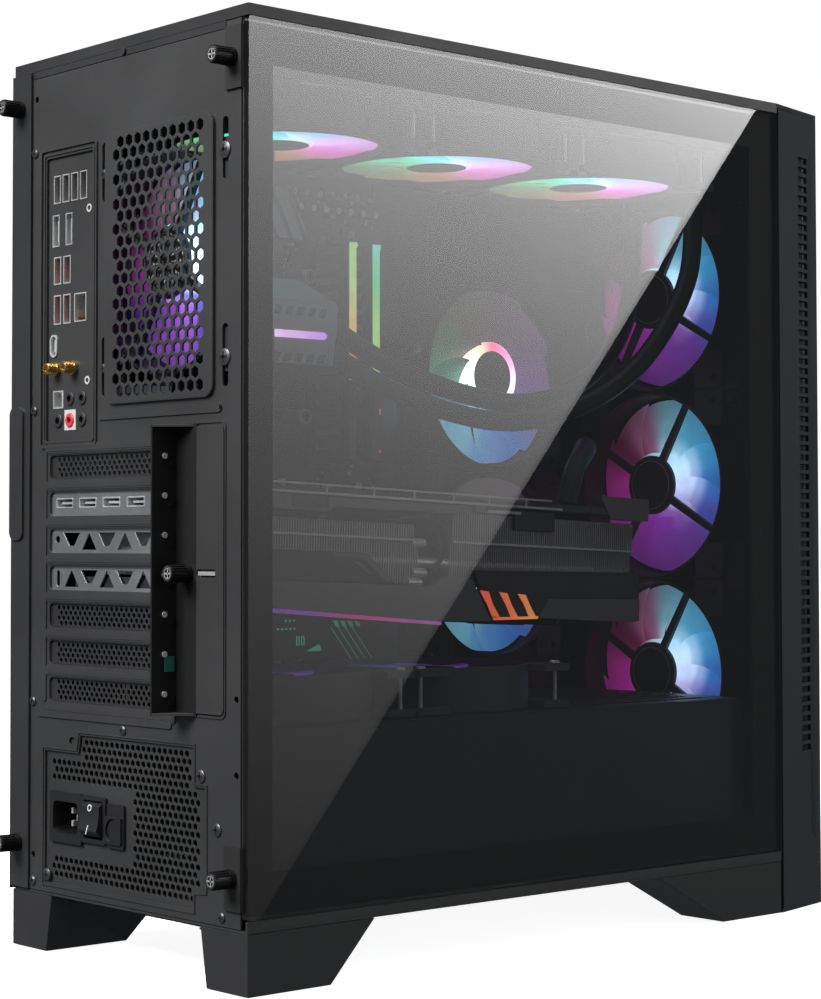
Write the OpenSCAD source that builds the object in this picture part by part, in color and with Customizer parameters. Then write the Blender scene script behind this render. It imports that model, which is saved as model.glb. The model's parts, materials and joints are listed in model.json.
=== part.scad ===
// Desktop computer tower, mid size, with tinted glass on one side.
// Lengths are millimetres. Z is up, the front faces -Y and the glass faces -X.
// Parts are placed from the rear glass-side ground corner: X across, Y back, Z up.

/* [Case] */
// Width over both side panels
case_w = 211; // [200:1:230]
// Height from the ground to the top cover
case_h = 495; // [480:1:520]
// Length of the side panels
side_len = 417.5; // [400:0.5:440]
// Depth of the front panel ahead of the side panels
front_depth = 52.5; // [40:0.5:70]
// Sheet steel thickness
sheet = 1.2; // [0.8:0.1:1.5]
// Height of the feet under the floor panel
foot_h = 31; // [20:1:40]
// How far the slot clamp stands out behind the rear panel
clamp_out = 17; // [12:0.5:20]

/* [Glass] */
// Glass thickness
glass_t = 4; // [3:0.5:5]
// Width of the dark glass border at the rear edge
border_rear = 19.2; // [12:0.1:30]
// Width of the dark glass border at the top and bottom edges
border_end = 22.5; // [12:0.1:30]

/* [Fans] */
// Fan frame side
fan_size = 120; // [120:1:120]
// Fan frame depth
fan_depth = 25; // [15:1:27]
// Fan bore radius
fan_bore = 57.5; // [55:0.5:58]
// Rotor radius at the blade tips
rotor_r = 56; // [52:0.5:56.5]
// Rotor hub radius
hub_r = 21; // [18:0.5:24]
// Blades on each rotor
blades = 9; // [7:1:11]
// Screw hole spacing of a fan
fan_pitch = 105; // [105:1:105]

/* [Expansion slots] */
// Slot spacing
slot_pitch = 20.32; // [20.32:0.01:20.32]
// Height of the centre of the top slot
slot_top = 266.1; // [260:0.1:275]

/* [Graphics card] */
// Card length
card_len = 330; // [240:1:335]
// Downward tilt of the card in degrees
card_sag = 2.2; // [0:0.1:3]
// Graphics card fan radius
card_fan_r = 45; // [38:0.5:46]

/* [Vents] */
// Honeycomb spacing
hex_pitch = 7.7; // [6.5:0.1:9]
// Honeycomb hole radius to the corners
hex_r = 3.1; // [2.5:0.1:4]
// Spacing of the vents down the front panel sides
vent_pitch = 6; // [5:0.5:9]

/* [Output] */
// Part to show

/* [Hidden] */
rear_y = (side_len + front_depth - clamp_out) / 2;
front_y = -side_len - front_depth;
taper_x = 11;
cover_z = case_h - 6;
inner_x = 182;
board_x = 174.7;
board_z = [134, 438.6];
rear_fan = [70.8, 370.7];
front_fan_z = [142, 262, 382];
front_fan_x = 103;
top_fan_y = [-85, -205, -325];
top_fan_x = 80;
top_fan_z = 440;
side_fan_z = [211, 331];
side_fan_y = -329;
low_fan_y = [-75, -195];
low_fan_x = 80;
shroud_z = 130.5;
psu_x = [31.3, 181.3];
psu_z = [36.4, 122.4];
psu_len = 150;
glass_z = [37.6, 488.6];
clear_y = [-395.5, -border_rear];
clear_z = [glass_z[0] + border_end, glass_z[1] - border_end];
card_pivot = [0, -3, 246];
card_fan_y = [-62, -168, -274];
card_fan_x = 99;
screw_z = [57.5, 469];
glass_screw_x = 11.5;
side_screw_x = 203;
clamp_screw = [47.5, 209];
screw_points = [[glass_screw_x, screw_z[0]], [glass_screw_x, screw_z[1]], [side_screw_x, screw_z[0]],
  [side_screw_x, screw_z[1]], clamp_screw];
ram_y = [-187, -205.6];
steel = [0.16, 0.16, 0.17];
dark = [0.08, 0.08, 0.09];
silver = [0.75, 0.76, 0.78];
// Hair gap between pieces of one sheet, so that each piece stays a plain strip round its windows
seam = 0.1;

// Frames of reference

module at(p) translate([p[0] - case_w / 2, p[1] + rear_y, p[2]]) children();

// Upright sheet across the case: the 2D child lies in X and Z, its rear face at y
module cross_sheet(y, t) at([0, y, 0]) rotate([90, 0, 0]) linear_extrude(t) children();

// Upright sheet along the case: the 2D child lies in Y and Z, its glass-side face at x
module side_sheet(x, t) at([x, 0, 0]) rotate([90, 0, 90]) linear_extrude(t) children();

// Level sheet: the 2D child lies in X and Y, its lower face at z
module flat_sheet(z, t) at([0, 0, z]) linear_extrude(t) children();

// Rectangle from two opposite corners
module rect(a, b) translate(a) square([b[0] - a[0], b[1] - a[1]]);

// Block from two opposite corners
module block(a, b) at(a) cube([b[0] - a[0], b[1] - a[1], b[2] - a[2]]);

// Blocks that fill a row from corner a to corner b between its pockets, given as [from, to] across the case
module between(a, b, pockets) {
  lows = concat([a[0]], [for (h = pockets) h[1]]);
  highs = concat([for (h = pockets) h[0]], [b[0]]);
  for (k = [0:len(lows) - 1])
    if (highs[k] - lows[k] > 0.3) block([lows[k], a[1], a[2]], [highs[k], b[1], b[2]]);
}

// Rounded rectangle from two opposite corners
module soft_rect(a, b, r) {
  rect([a[0] + r, a[1]], [b[0] - r, b[1]]);
  rect([a[0], a[1] + r], [b[0], b[1] - r]);
  for (x = [a[0] + r, b[0] - r])
    for (y = [a[1] + r, b[1] - r])
      translate([x, y]) circle(r, $fn = 24);
}

// Card parts tilt down towards the front about the slot
module sag() at(card_pivot) rotate([card_sag, 0, 0]) translate(-card_pivot) children();

module tilted(a, b) sag() translate(a) cube([b[0] - a[0], b[1] - a[1], b[2] - a[2]]);

// Fans

module four_corners(p) for (x = [-p / 2, p / 2]) for (y = [-p / 2, p / 2]) translate([x, y]) children();

module fan_face(bore) difference() {
  square(fan_size - 0.6, center = true);
  circle(bore, $fn = 96);
  four_corners(fan_pitch) circle(2.2, $fn = 24);
}

// Frame standing on its motor side at z = 0, with a motor plate held by four struts
module fan_frame() {
  linear_extrude(4) fan_face(fan_bore);
  translate([0, 0, 4]) linear_extrude(fan_depth - 8) difference() {
    circle(fan_bore + 1.5, $fn = 96);
    circle(fan_bore, $fn = 96);
  }
  translate([0, 0, fan_depth - 4]) linear_extrude(4) fan_face(fan_bore);
  for (a = [45:90:315]) rotate([0, 0, a]) translate([18, -1.8, 0]) cube([fan_bore - 17.5, 3.6, 3]);
  cylinder(h = 3, r = 19.5, $fn = 60);
  cylinder(h = 6, r = 2, $fn = 24);
}

// Rotor turning about Z over the motor plate
module fan_rotor(r = rotor_r, hub = hub_r, h = fan_depth - 6.5) {
  difference() {
    translate([0, 0, 4]) cylinder(h = h, r = hub, $fn = 72);
    translate([0, 0, 3.9]) cylinder(h = 2.6, r = 2.6, $fn = 24);
  }
  for (i = [0:blades - 1])
    rotate([0, 0, i * 360 / blades])
      translate([hub - 1.5, 0, 4 + h / 2])
        rotate([32, 0, 0])
          translate([0, -r * 0.2, -0.8]) cube([r - hub - 0.6, r * 0.4, 1.6]);
}

// Turned so that the motor plate faces the named way
module face_rear(p) at(p) rotate([90, 0, 0]) children();
module face_front(p) at(p) rotate([-90, 0, 0]) children();
module face_glass(p) at(p) rotate([0, 90, 0]) children();
module face_side(p) at(p) rotate([0, -90, 0]) children();
module face_up(p) at(p) rotate([180, 0, 0]) children();
module face_down(p) at(p) children();

module at_rear_fan() face_rear([rear_fan[0], -1.5, rear_fan[1]]) children();
module at_front_fan(i) face_rear([front_fan_x, -416, front_fan_z[i]]) children();
module at_top_fan(i) face_up([top_fan_x, top_fan_y[i], top_fan_z + fan_depth]) children();
module at_side_fan(i) face_side([181.5, side_fan_y, side_fan_z[i]]) children();
module at_low_fan(i) face_down([low_fan_x, low_fan_y[i], shroud_z + 0.5]) children();
module at_card_fan(i) sag() translate([card_fan_x, card_fan_y[i], 201]) rotate([180, 0, 0]) children();

// Rear panel

grille_a = [27.6, 299.8];
grille_b = [119.4, 443.2];

module hex_field(a, b) {
  row = hex_pitch * 0.866;
  rows = floor((b[1] - a[1] - 4) / row);
  cols = floor((b[0] - a[0] - 5) / hex_pitch) - 1;
  x0 = (a[0] + b[0]) / 2 - (cols + 0.5) * hex_pitch / 2;
  z0 = (a[1] + b[1]) / 2 - (rows - 1) * row / 2;
  for (j = [0:rows - 1])
    for (i = [0:cols])
      translate([x0 + (i + (j % 2) / 2) * hex_pitch, z0 + j * row]) rotate(30) circle(hex_r, $fn = 6);
}

module slot_window(i, a, b, h) {
  z = slot_top - i * slot_pitch;
  rect([a, z - h / 2], [b, z + h / 2]);
}

module psu_opening() difference() {
  rect([psu_x[0] + 3, psu_z[0] + 2], [psu_x[1] - 3, psu_z[1] - 2]);
  rect([psu_x[0], psu_z[0]], [psu_x[0] + 13, psu_z[0] + 12]);
  rect([psu_x[1] - 13, psu_z[0]], [psu_x[1], psu_z[0] + 12]);
  rect([psu_x[0], psu_z[1] - 22], [psu_x[0] + 13, psu_z[1]]);
  rect([psu_x[1] - 37, psu_z[1] - 12], [psu_x[1], psu_z[1]]);
}

// Cuts along the rear sheet from window to window
module rear_seams() {
  for (z = [38.4, 120.4, 137.6, 272.6, 280.5, 443.2, 484.6]) rect([0, z], [case_w, z + seam]);
  rect([0, 299.8 - seam], [134.4, 299.8]);
  rect([118, 438], [case_w, 438 + seam]);
  for (x = [psu_x[0] + 2.9, psu_x[1] - 3]) rect([x, 38.4], [x + seam, 120.4]);
  for (x = [59.1, 174.5]) rect([x, 137.6], [x + seam, 272.6]);
}

module rear_panel() color(steel) {
  cross_sheet(0, sheet) difference() {
    union() {
      rect([5.6, 32.8], [206, case_h - 10.4]);
      rect([5.6, 480], [17.6, case_h - 6.6]);
      rect([192.2, 480], [206, case_h - 6.6]);
    }
    soft_rect(grille_a, grille_b, 6);
    soft_rect([134.4, 280.6], [178.8, 438], 1);
    for (i = [0:6]) slot_window(i, 59.2, 174.5, 13);
    psu_opening();
    for (x = [18.3, 123.3])
      for (z = [rear_fan[1] - 52.5, rear_fan[1] + 52.5])
        soft_rect([x - 2.4, z - 15], [x + 2.4, z + 17], 2.3);
    for (p = [[36.3, 42.4], [152, 116.4]]) soft_rect([p[0] - 3, p[1] - 2.2], p + [3, 2.2], 2.1);
    for (p = [[188.9, 473], [9, 146.3], [9, 108.6], [45.5, 44.7]]) translate(p) circle(1.8, $fn = 24);
    for (p = screw_points) translate(p) circle(2.2, $fn = 24);
    rear_seams();
  }
  cross_sheet(2, 2 - seam) difference() {
    soft_rect(grille_a - [1.2, 1.2], grille_b + [1.2, 1.2], 7);
    soft_rect(grille_a, grille_b, 6);
  }
  cross_sheet(2, sheet) difference() {
    soft_rect(grille_a - [0.6, 0.6], grille_b + [0.6, 0.6], 6.5);
    hex_field(grille_a, grille_b);
  }
  cross_sheet(0.9, 0.8) soft_rect([20.7, 290.5], [128, 295.5], 2.4);
  cross_sheet(0.9, 0.8) soft_rect([62, 128.6], [185, 132.6], 1.9);
  cross_sheet(1.2, 1.1) {
    for (x = [129.5, 181]) rect([x, 276.8], [x + 2.5, 443.2]);
    for (z = [276.8, 440.8]) rect([132.1, z], [180.9, z + 2.4]);
  }
}

// Chassis

module floor_panel() color(steel) {
  flat_sheet(foot_h + 0.2, sheet) difference() {
    union() {
      rect([0.4, -side_len + 0.3], [206.4, -0.2]);
      rect([12, -442], [199, -side_len]);
    }
    for (y = [-150:12:-30]) soft_rect([50, y - 4], [160, y + 4], 2);
    for (x = [20, 190]) for (y = [-400, -40]) translate([x, y]) circle(2, $fn = 24);
  }
  side_sheet(0.4, sheet) rect([-side_len + 0.3, foot_h + 1.5], [-0.2, 37.1]);
  for (x = [43.4, 164.6]) block([x, -162, foot_h - 2.8], [x + 2, -8, foot_h + 0.1]);
  for (x = [43.4, 161]) block([x, -162, foot_h - 4], [x + 5.6, -8, foot_h - 2.9]);
}

module roof_frame() color(steel) {
  flat_sheet(486.6, sheet) difference() {
    rect([6, -416], [205, -2]);
    for (y = top_fan_y) soft_rect([22, y - 57], [138, y + 57], 6);
    for (x = [172, 188]) for (y = [-380:60:-40]) soft_rect([x - 5, y - 24], [x + 5, y + 24], 3);
  }
  for (x = [6, 203.8]) side_sheet(x, sheet) rect([-416, 478], [-2, 486.5]);
}

module motherboard_tray() color(steel) {
  side_sheet(inner_x, sheet) difference() {
    rect([-440.8, 33], [-1.4, 477.6]);
    rect([-165, 285], [-70, 395]);
    for (z = [165, 245, 325, 405]) soft_rect([-268, z - 30], [-252.5, z + 30], 5);
    for (z = side_fan_z) translate([side_fan_y, z]) circle(54, $fn = 72);
    for (y = [-225, -130, -35]) soft_rect([y - 22, 441], [y + 22, 456], 5);
    rect([-380, 40], [-180, 120]);
    translate([-400, 272]) circle(9, $fn = 48);
    for (z = [40, 120 - seam, 285, 395 - seam]) rect([-441, z], [0, z + seam]);
  }
  for (y = [-8, -165, -241])
    for (z = [board_z[0] + 8, 292, board_z[1] - 8])
      at([176.4, y, z]) rotate([0, 90, 0]) cylinder(h = inner_x - 176.4 - seam, r = 3, $fn = 6);
}

module front_frame() color(steel) {
  cross_sheet(-441.2, sheet) difference() {
    rect([12, 33], [199, 476]);
    for (z = front_fan_z) translate([front_fan_x, z]) circle(fan_bore, $fn = 96);
    for (z = front_fan_z) translate([front_fan_x, z]) four_corners(fan_pitch) circle(2.2, $fn = 24);
  }
  for (x = [12, 197.8]) side_sheet(x, sheet) rect([-441.1, 33], [-416.3, 476]);
  for (x = [6, 203.8]) side_sheet(x, sheet) rect([-414.9, 33], [-398, 476]);
  cross_sheet(-415, sheet) rect([6, 33], [13.2, 476]);
  cross_sheet(-415, sheet) rect([197.8, 33], [205, 476]);
}

module psu_shroud() color(steel) {
  flat_sheet(shroud_z - sheet, sheet) difference() {
    rect([14, -398], [181.5, -1.6]);
    for (y = low_fan_y) translate([low_fan_x, y]) circle(56, $fn = 96);
    for (y = low_fan_y) translate([low_fan_x, y]) four_corners(fan_pitch) circle(2.2, $fn = 24);
    for (x = [30:14:170]) soft_rect([x - 4, -380], [x + 4, -275], 3);
  }
  side_sheet(14, sheet) rect([-398, 33], [-1.6, shroud_z - sheet - seam]);
}

// Foot from its sloping inner end y0 to its outer end y1, with a sloping inner side
module foot(x0, x1, y0, y1, lean) {
  top = foot_h - 0.1;
  side = x0 < case_w / 2 ? 5 : -5;
  far = y0 - lean;
  intersection() {
    side_sheet(min(x0, x0 + side), abs(x1 - x0) + 5)
      polygon([[y0, 0], [y1, 0], [y1, top], [far, top]]);
    cross_sheet(max(y0, y1, far), 120)
      polygon([[x0, 0], [x1, 0], [x1 + max(side, 0), top], [x0 + min(side, 0), top]]);
  }
}

module case_feet() color(dark) {
  foot(0.5, 33.7, -55, -0.5, 30);
  foot(177.3, 210.5, -55, -0.5, 30);
  foot(0.5, 33.7, -363, -417.2, -57);
  foot(177.3, 210.5, -363, -417.2, -57);
}

// Expansion slots

module one_cover(i) {
  z = slot_top - i * slot_pitch;
  cross_sheet(-1.4, 0.9) difference() {
    rect([58.6, z - 9.6], [180, z + 9.6]);
    for (r = [-1:1])
      for (k = [0:16]) translate([64 + k * 6.3 + abs(r) * 3.15, z + r * 3]) circle(1.25, $fn = 20);
  }
  block([59.4, -1.3, z - 6.2], [60.3, 10.5, z + 6.2]);
}

module slot_covers() color(dark) for (i = [0, 4, 5, 6]) one_cover(i);

module slot_clamp() color(steel) {
  block([57, 0.3, 136.6], [58.2, clamp_out, 285]);
  difference() {
    block([40, 0.3, 136.6], [58.2, 1.5, 285]);
    face_rear([clamp_screw[0], 2, clamp_screw[1]]) cylinder(h = 3, r = 2.3, $fn = 24);
  }
  for (z = [136.6, 283.8])
    at([0, 0, z]) linear_extrude(1.2)
      polygon([[58.2, 0.3], [58.2, clamp_out], [57, clamp_out], [42, 1.5], [42, 0.3]]);
  cross_sheet(1.1, 0.8) difference() {
    rect([18, 138], [40.1, 284]);
    rect([21, 208.5], [30, 212.5]);
  }
}

// Thumbscrew with its head standing out behind the rear panel
module thumbscrew(x, y, z) at([x, y, z]) rotate([-90, 0, 0]) {
  difference() {
    union() {
      cylinder(h = 1.6, r = 5, $fn = 48);
      cylinder(h = 12.4, r = 4.2, $fn = 48);
      for (a = [0:20:340]) rotate(a) translate([4, -0.35, 2.6]) cube([0.75, 0.7, 8.6]);
    }
    translate([-3, -0.5, 11.4]) cube([6, 1, 1.2]);
    translate([-0.5, -3, 11.4]) cube([1, 6, 1.2]);
  }
  translate([0, 0, -2.8]) cylinder(h = 2.9, r = 1.75, $fn = 24);
}

module clamp_thumbscrew() color(dark) thumbscrew(clamp_screw[0], 1.85, clamp_screw[1]);
module glass_thumbscrew_upper() color(dark) thumbscrew(glass_screw_x, 1.95, screw_z[1]);
module glass_thumbscrew_lower() color(dark) thumbscrew(glass_screw_x, 1.95, screw_z[0]);
module side_thumbscrew_upper() color(dark) thumbscrew(side_screw_x, 1.95, screw_z[1]);
module side_thumbscrew_lower() color(dark) thumbscrew(side_screw_x, 1.95, screw_z[0]);

// Side panels

module glass_pane() color([0.3, 0.3, 0.32, 0.35]) side_sheet(0, glass_t)
  soft_rect([-side_len + 0.2, glass_z[0]], [-0.3, glass_z[1]], 1.5);

module tab(z) {
  block([glass_t, 0.4, z - 16], [17, 1.6, z + 16]);
}

module glass_frame() color(dark) {
  side_sheet(glass_t, 1) difference() {
    rect([-side_len + 2, glass_z[0] + 1.5], [1.6, glass_z[1] - 2]);
    rect([clear_y[0], clear_z[0]], [clear_y[1], clear_z[1]]);
    rect([-0.5, glass_z[0]], [2, screw_z[0] - 16]);
    rect([-0.5, screw_z[0] + 16], [2, screw_z[1] - 16]);
    rect([-0.5, screw_z[1] + 16], [2, glass_z[1]]);
  }
  difference() {
    for (z = screw_z) tab(z);
    for (z = screw_z) face_rear([glass_screw_x, 2, z]) cylinder(h = 3, r = 2.2, $fn = 24);
  }
}

module side_panel() color(steel) {
  side_sheet(case_w - sheet, sheet) rect([-side_len + 0.2, 31.4], [1.6, 488.4]);
  for (z = [31.4, 487.4]) flat_sheet(z, 1) rect([206.9, -side_len + 0.2], [case_w - 0.5, -0.4]);
  block([206.9, -side_len + 0.2, 31.4], [case_w - 0.5, -side_len + 1.2, 488.4]);
  difference() {
    block([192.6, 0.4, 33], [case_w - 0.5, 1.6, 488.4]);
    for (z = screw_z) face_rear([side_screw_x, 2, z]) cylinder(h = 3, r = 2.2, $fn = 24);
  }
  cross_sheet(3, 1.5) soft_rect([198, 226], [case_w, 301], 5);
}

// Covers

module top_cover() color(steel) {
  difference() {
    block([0, -side_len + 0.2, cover_z], [case_w, 0, case_h]);
    block([1.2, -side_len + 1.4, cover_z - 1], [case_w - 1.2, -1.2, case_h - 1.2]);
    for (y = [-384:9:-33])
      for (x = [42:32:170])
        at([0, 0, case_h - 2]) linear_extrude(3) soft_rect([x - 14, y - 2.2], [x + 14, y + 2.2], 2);
  }
  difference() {
    block([18, -1.2, case_h - 10], [191.8, 0, cover_z - 0.2]);
    face_rear([105.9, 0.5, 487.4]) cylinder(h = 3, r = 1.9, $fn = 24);
  }
  face_front([105.9, -1.2, 487.4]) cylinder(h = 1.3, r = 1.7, $fn = 24);
  face_front([105.9, 0.05, 487.4]) cylinder(h = 1.2, r = 2.2, $fn = 30);
}

// Plan of the front panel, tapering to its front edge
module front_plan(inset) polygon([
  [inset, -side_len - 0.3], [taper_x + inset, front_y + inset],
  [case_w - taper_x - inset, front_y + inset], [case_w - inset, -side_len - 0.3]]);

module side_vents() for (s = [0, 1]) translate([s * case_w, 0]) mirror([s, 0, 0]) {
  for (k = [0:61])
    translate([4, -457, 96 + k * vent_pitch]) cube([6, 12, 3.8]);
}

// Cuts that part the front panel into side walls, borders, base and cap
module front_seams() {
  for (z = [2, case_h - 3 - seam]) block([-1, front_y - 1, z], [case_w + 1, -side_len + 1, z + seam]);
  for (x = [18 - seam, case_w - 18]) block([x, front_y - 1, 1], [x + seam, -side_len + 1, case_h - 3]);
  for (y = [-444 - seam, -437]) block([-1, y, case_h - 3.5], [case_w + 1, y + seam, case_h + 1]);
}

module front_shell() color(steel) {
  difference() {
    at([0, 0, 0]) linear_extrude(case_h) front_plan(0);
    at([0, 0, 2]) linear_extrude(case_h - 5) difference() {
      front_plan(2);
      translate([0, front_y - 1]) square([case_w, 5]);
    }
    block([-1, -side_len - 2, 2], [case_w + 1, -side_len + 1, case_h - 3]);
    block([18, front_y - 1, 38], [case_w - 18, front_y + 6, 472]);
    at([0, 0, 0]) side_vents();
    block([36, -side_len - 30, -1], [case_w - 36, -side_len + 1, 3]);
    at([78, -440, case_h - 4]) cylinder(h = 6, r = 6.8, $fn = 48);
    at([60, -440, case_h - 4]) cylinder(h = 6, r = 3.8, $fn = 48);
    at([0, 0, case_h - 4]) linear_extrude(6) front_port_holes();
    front_seams();
  }
}

module front_port_holes() {
  for (x = [100, 122]) rect([x - 7, -444], [x + 7, -437]);
  soft_rect([136, -442.4], [146, -438.6], 1.8);
  translate([158, -440.5]) circle(3.2, $fn = 36);
}

module front_mesh() color(dark) cross_sheet(front_y + 3.4, 1.6) difference() {
  rect([18.3, 38.3], [case_w - 18.3, 471.7]);
  for (z = [46:7:464])
    for (x = [34:26.5:178]) soft_rect([x - 12, z - 2.2], [x + 12, z + 2.2], 2);
}

module power_button() color(silver) at([78, -440, case_h - 6]) {
  cylinder(h = 5.9, r = 6.4, $fn = 48);
  cylinder(h = 2, r = 8, $fn = 48);
}

module reset_button() color(silver) at([60, -440, case_h - 6]) {
  cylinder(h = 5.8, r = 3.4, $fn = 48);
  cylinder(h = 2, r = 5, $fn = 48);
}

module front_ports() color(dark) {
  top = case_h - 3 - seam - 0.1;
  lip = case_h - 3 - seam;
  block([90, -448, case_h - 17], [166, -443.1, top]);
  block([90, -438.5, case_h - 17], [166, -433, top]);
  difference() {
    between([90, -443, case_h - 17], [166, -438.6, top], [[93.9, 106.1], [115.9, 128.1]]);
    block([137, -441.6, case_h - 12], [145, -439.4, case_h + 1]);
    at([158, -440.5, case_h - 15]) cylinder(h = 16, r = 1.8, $fn = 24);
  }
  for (x = [100, 122]) {
    block([x - 6, -443, case_h - 17], [x + 6, -438.6, case_h - 14]);
    for (y = [-443.9, -438]) block([x - 6.9, y, lip], [x + 6.9, y + 0.8, case_h - 0.2]);
    for (s = [-6.9, 6.1]) block([x + s, -443, lip], [x + s + 0.8, -438.1, case_h - 0.2]);
  }
  at([0, 0, lip]) linear_extrude(2.9) difference() {
    soft_rect([136.1, -442.3], [145.9, -438.7], 1.7);
    rect([137, -441.6], [145, -439.4]);
  }
  at([0, 0, lip]) linear_extrude(2.9) translate([158, -440.5]) difference() {
    circle(3.1, $fn = 36);
    circle(1.8, $fn = 24);
  }
}

module bottom_filter() color(dark) {
  flat_sheet(foot_h - 2.6, 2.2) difference() {
    rect([46, -160], [164, -8]);
    for (y = [-150:8:-20]) for (x = [60:18:150]) rect([x - 8, y - 3], [x + 8, y + 3]);
  }
}

// Fan frames and rotors

module rear_fan_frame() color(dark) at_rear_fan() fan_frame();
module rear_fan_rotor() color(silver) at_rear_fan() fan_rotor();
module front_rotor_1() color(silver) at_front_fan(0) fan_rotor();
module front_rotor_2() color(silver) at_front_fan(1) fan_rotor();
module front_rotor_3() color(silver) at_front_fan(2) fan_rotor();
module top_rotor_1() color(silver) at_top_fan(0) fan_rotor();
module top_rotor_2() color(silver) at_top_fan(1) fan_rotor();
module top_rotor_3() color(silver) at_top_fan(2) fan_rotor();
module case_fan_frames() color(dark) {
  for (i = [0:2]) at_front_fan(i) fan_frame();
  for (i = [0:2]) at_top_fan(i) fan_frame();
  for (i = [0:1]) at_side_fan(i) fan_frame();
  for (i = [0:1]) at_low_fan(i) fan_frame();
}
module side_rotor_1() color(silver) at_side_fan(0) fan_rotor();
module side_rotor_2() color(silver) at_side_fan(1) fan_rotor();
module low_rotor_1() color(silver) at_low_fan(0) fan_rotor();
module low_rotor_2() color(silver) at_low_fan(1) fan_rotor();

// Power supply

inlet_a = [144, 62.4];
inlet_b = [171.5, 87.6];
rocker_a = [122.6, 65.5];
rocker_b = [140.6, 86.5];
button_c = [112.6, 72];

module psu_case() color(dark) {
  a = [psu_x[0], -1.4 - psu_len, psu_z[0]];
  b = [psu_x[1], -1.4, psu_z[1]];
  block([a[0], a[1], b[2] - 1.5], [b[0], b[1] - 1.5, b[2]]);
  difference() {
    block(a, [b[0], b[1] - 1.5, a[2] + 1.5]);
    flat_sheet(psu_z[0] - 1, 4) translate([106, -77]) difference() {
      circle(55, $fn = 96);
      circle(16, $fn = 48);
      for (q = [0:90:270]) rotate(q) translate([14, -2]) square([43, 4]);
    }
  }
  for (x = [a[0], b[0] - 1.5]) block([x, a[1], a[2] + 1.6], [x + 1.5, b[1] - 1.5, b[2] - 1.6]);
  block([a[0] + 1.6, a[1], a[2] + 1.6], [b[0] - 1.6, a[1] + 1.5, b[2] - 1.6]);
  block([60, a[1] - 1.7, 50], [170, a[1] - seam, 90]);
  cross_sheet(-1.4, 1.4) difference() {
    rect([a[0], a[2]], [b[0], b[2]]);
    rect(inlet_a, inlet_b);
    rect(rocker_a, rocker_b);
    translate(button_c) circle(6.4, $fn = 48);
    difference() {
      hex_field([psu_x[0] + 14, psu_z[0] + 3], [psu_x[1] - 12, psu_z[1] - 12]);
      rect([100, 56], [psu_x[1], 92]);
    }
    for (z = [inlet_a[1], inlet_b[1] - seam]) rect([a[0], z], [b[0], z + seam]);
  }
}

module psu_rotor() color(dark) face_down([106, -77, psu_z[0] - 0.6]) fan_rotor(54, 20, 16);

module psu_inlet() color(dark) difference() {
  union() {
    cross_sheet(0.6, 20) rect(inlet_a + [0.1, 0.1], inlet_b - [0.1, 0.1]);
    cross_sheet(0.6, 1.9) rect(inlet_a - [1.2, 1.2], inlet_b + [1.2, 1.2]);
  }
  cross_sheet(1, 17) soft_rect(inlet_a + [2, 4], inlet_b - [2, 4], 3);
}

module psu_rocker() color(dark) at([131.6, -4, 76]) rotate([8, 0, 0]) difference() {
  rotate([0, 90, 0]) cylinder(h = 16.8, r = 10, center = true, $fn = 72);
  translate([-9, -12, -12]) cube([18, 10, 24]);
  translate([0, 40, 0]) rotate([0, 90, 0]) cylinder(h = 18, r = 33, center = true, $fn = 72);
}

module psu_button() color(dark) at([button_c[0], -8, button_c[1]]) rotate([-90, 0, 0])
  cylinder(h = 8.4, r = 6, $fn = 48);

// Graphics card

module card_board() color(dark) {
  tilted([50, -262, 249.2], [161, -6, 250.8]);
  tilted([160, -141, 249.2], [165.8, -58, 250.8]);
  for (x = [56, 146]) for (y = [-252, -140, -20]) tilted([x, y, 250.7], [x + 5, y + 5, 253.3]);
  sag() translate([0, 0, 253.2]) linear_extrude(1.6) difference() {
    rect([42.6, -336], [154.5, -5]);
    for (k = [0:7]) translate([66, -318 + k * 7.2]) square([70, 4]);
  }
  tilted([42.6, -336, 254.7], [44, -5, 257.2]);
  tilted([45, -291, 254.7], [60, -277, 257.6]);
}

module card_heatsink() color(silver) {
  sag() translate([46, 0, 0]) rotate([90, 0, 90]) linear_extrude(106) difference() {
    rect([-334, 207], [-16, 248.9]);
    for (y = [-330:4:-20]) rect([y, 200], [y + 2.6, 244]);
    rect([-216, 200], [-184, 240]);
  }
  for (z = [214, 224, 234])
    sag() translate([60, -330, z]) rotate([-90, 0, 0]) cylinder(h = 310, r = 3, $fn = 24);
}

module card_shroud() color(dark) {
  sag() translate([0, 0, 182]) linear_extrude(24.6) difference() {
    rect([42, -338], [154.5, -5]);
    for (y = card_fan_y) translate([card_fan_x, y]) circle(card_fan_r + 1.5, $fn = 96);
  }
  for (y = card_fan_y) {
    sag() translate([card_fan_x, y, 204]) cylinder(h = 2.6, r = 16, $fn = 48);
    for (a = [0:90:270])
      sag() translate([card_fan_x, y, 204]) rotate(a) translate([14, -2, 0]) cube([card_fan_r - 11, 4, 2.4]);
  }
  sag() translate([42, 0, 0]) rotate([90, 0, 90]) linear_extrude(2)
    polygon([[-5, 206], [-5, 222], [-92, 222], [-122, 206]]);
  tilted([42, -338, 206], [46, -334.6, 249]);
  tilted([42, -338, 249], [50, -334.6, 252.8]);
}

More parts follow.
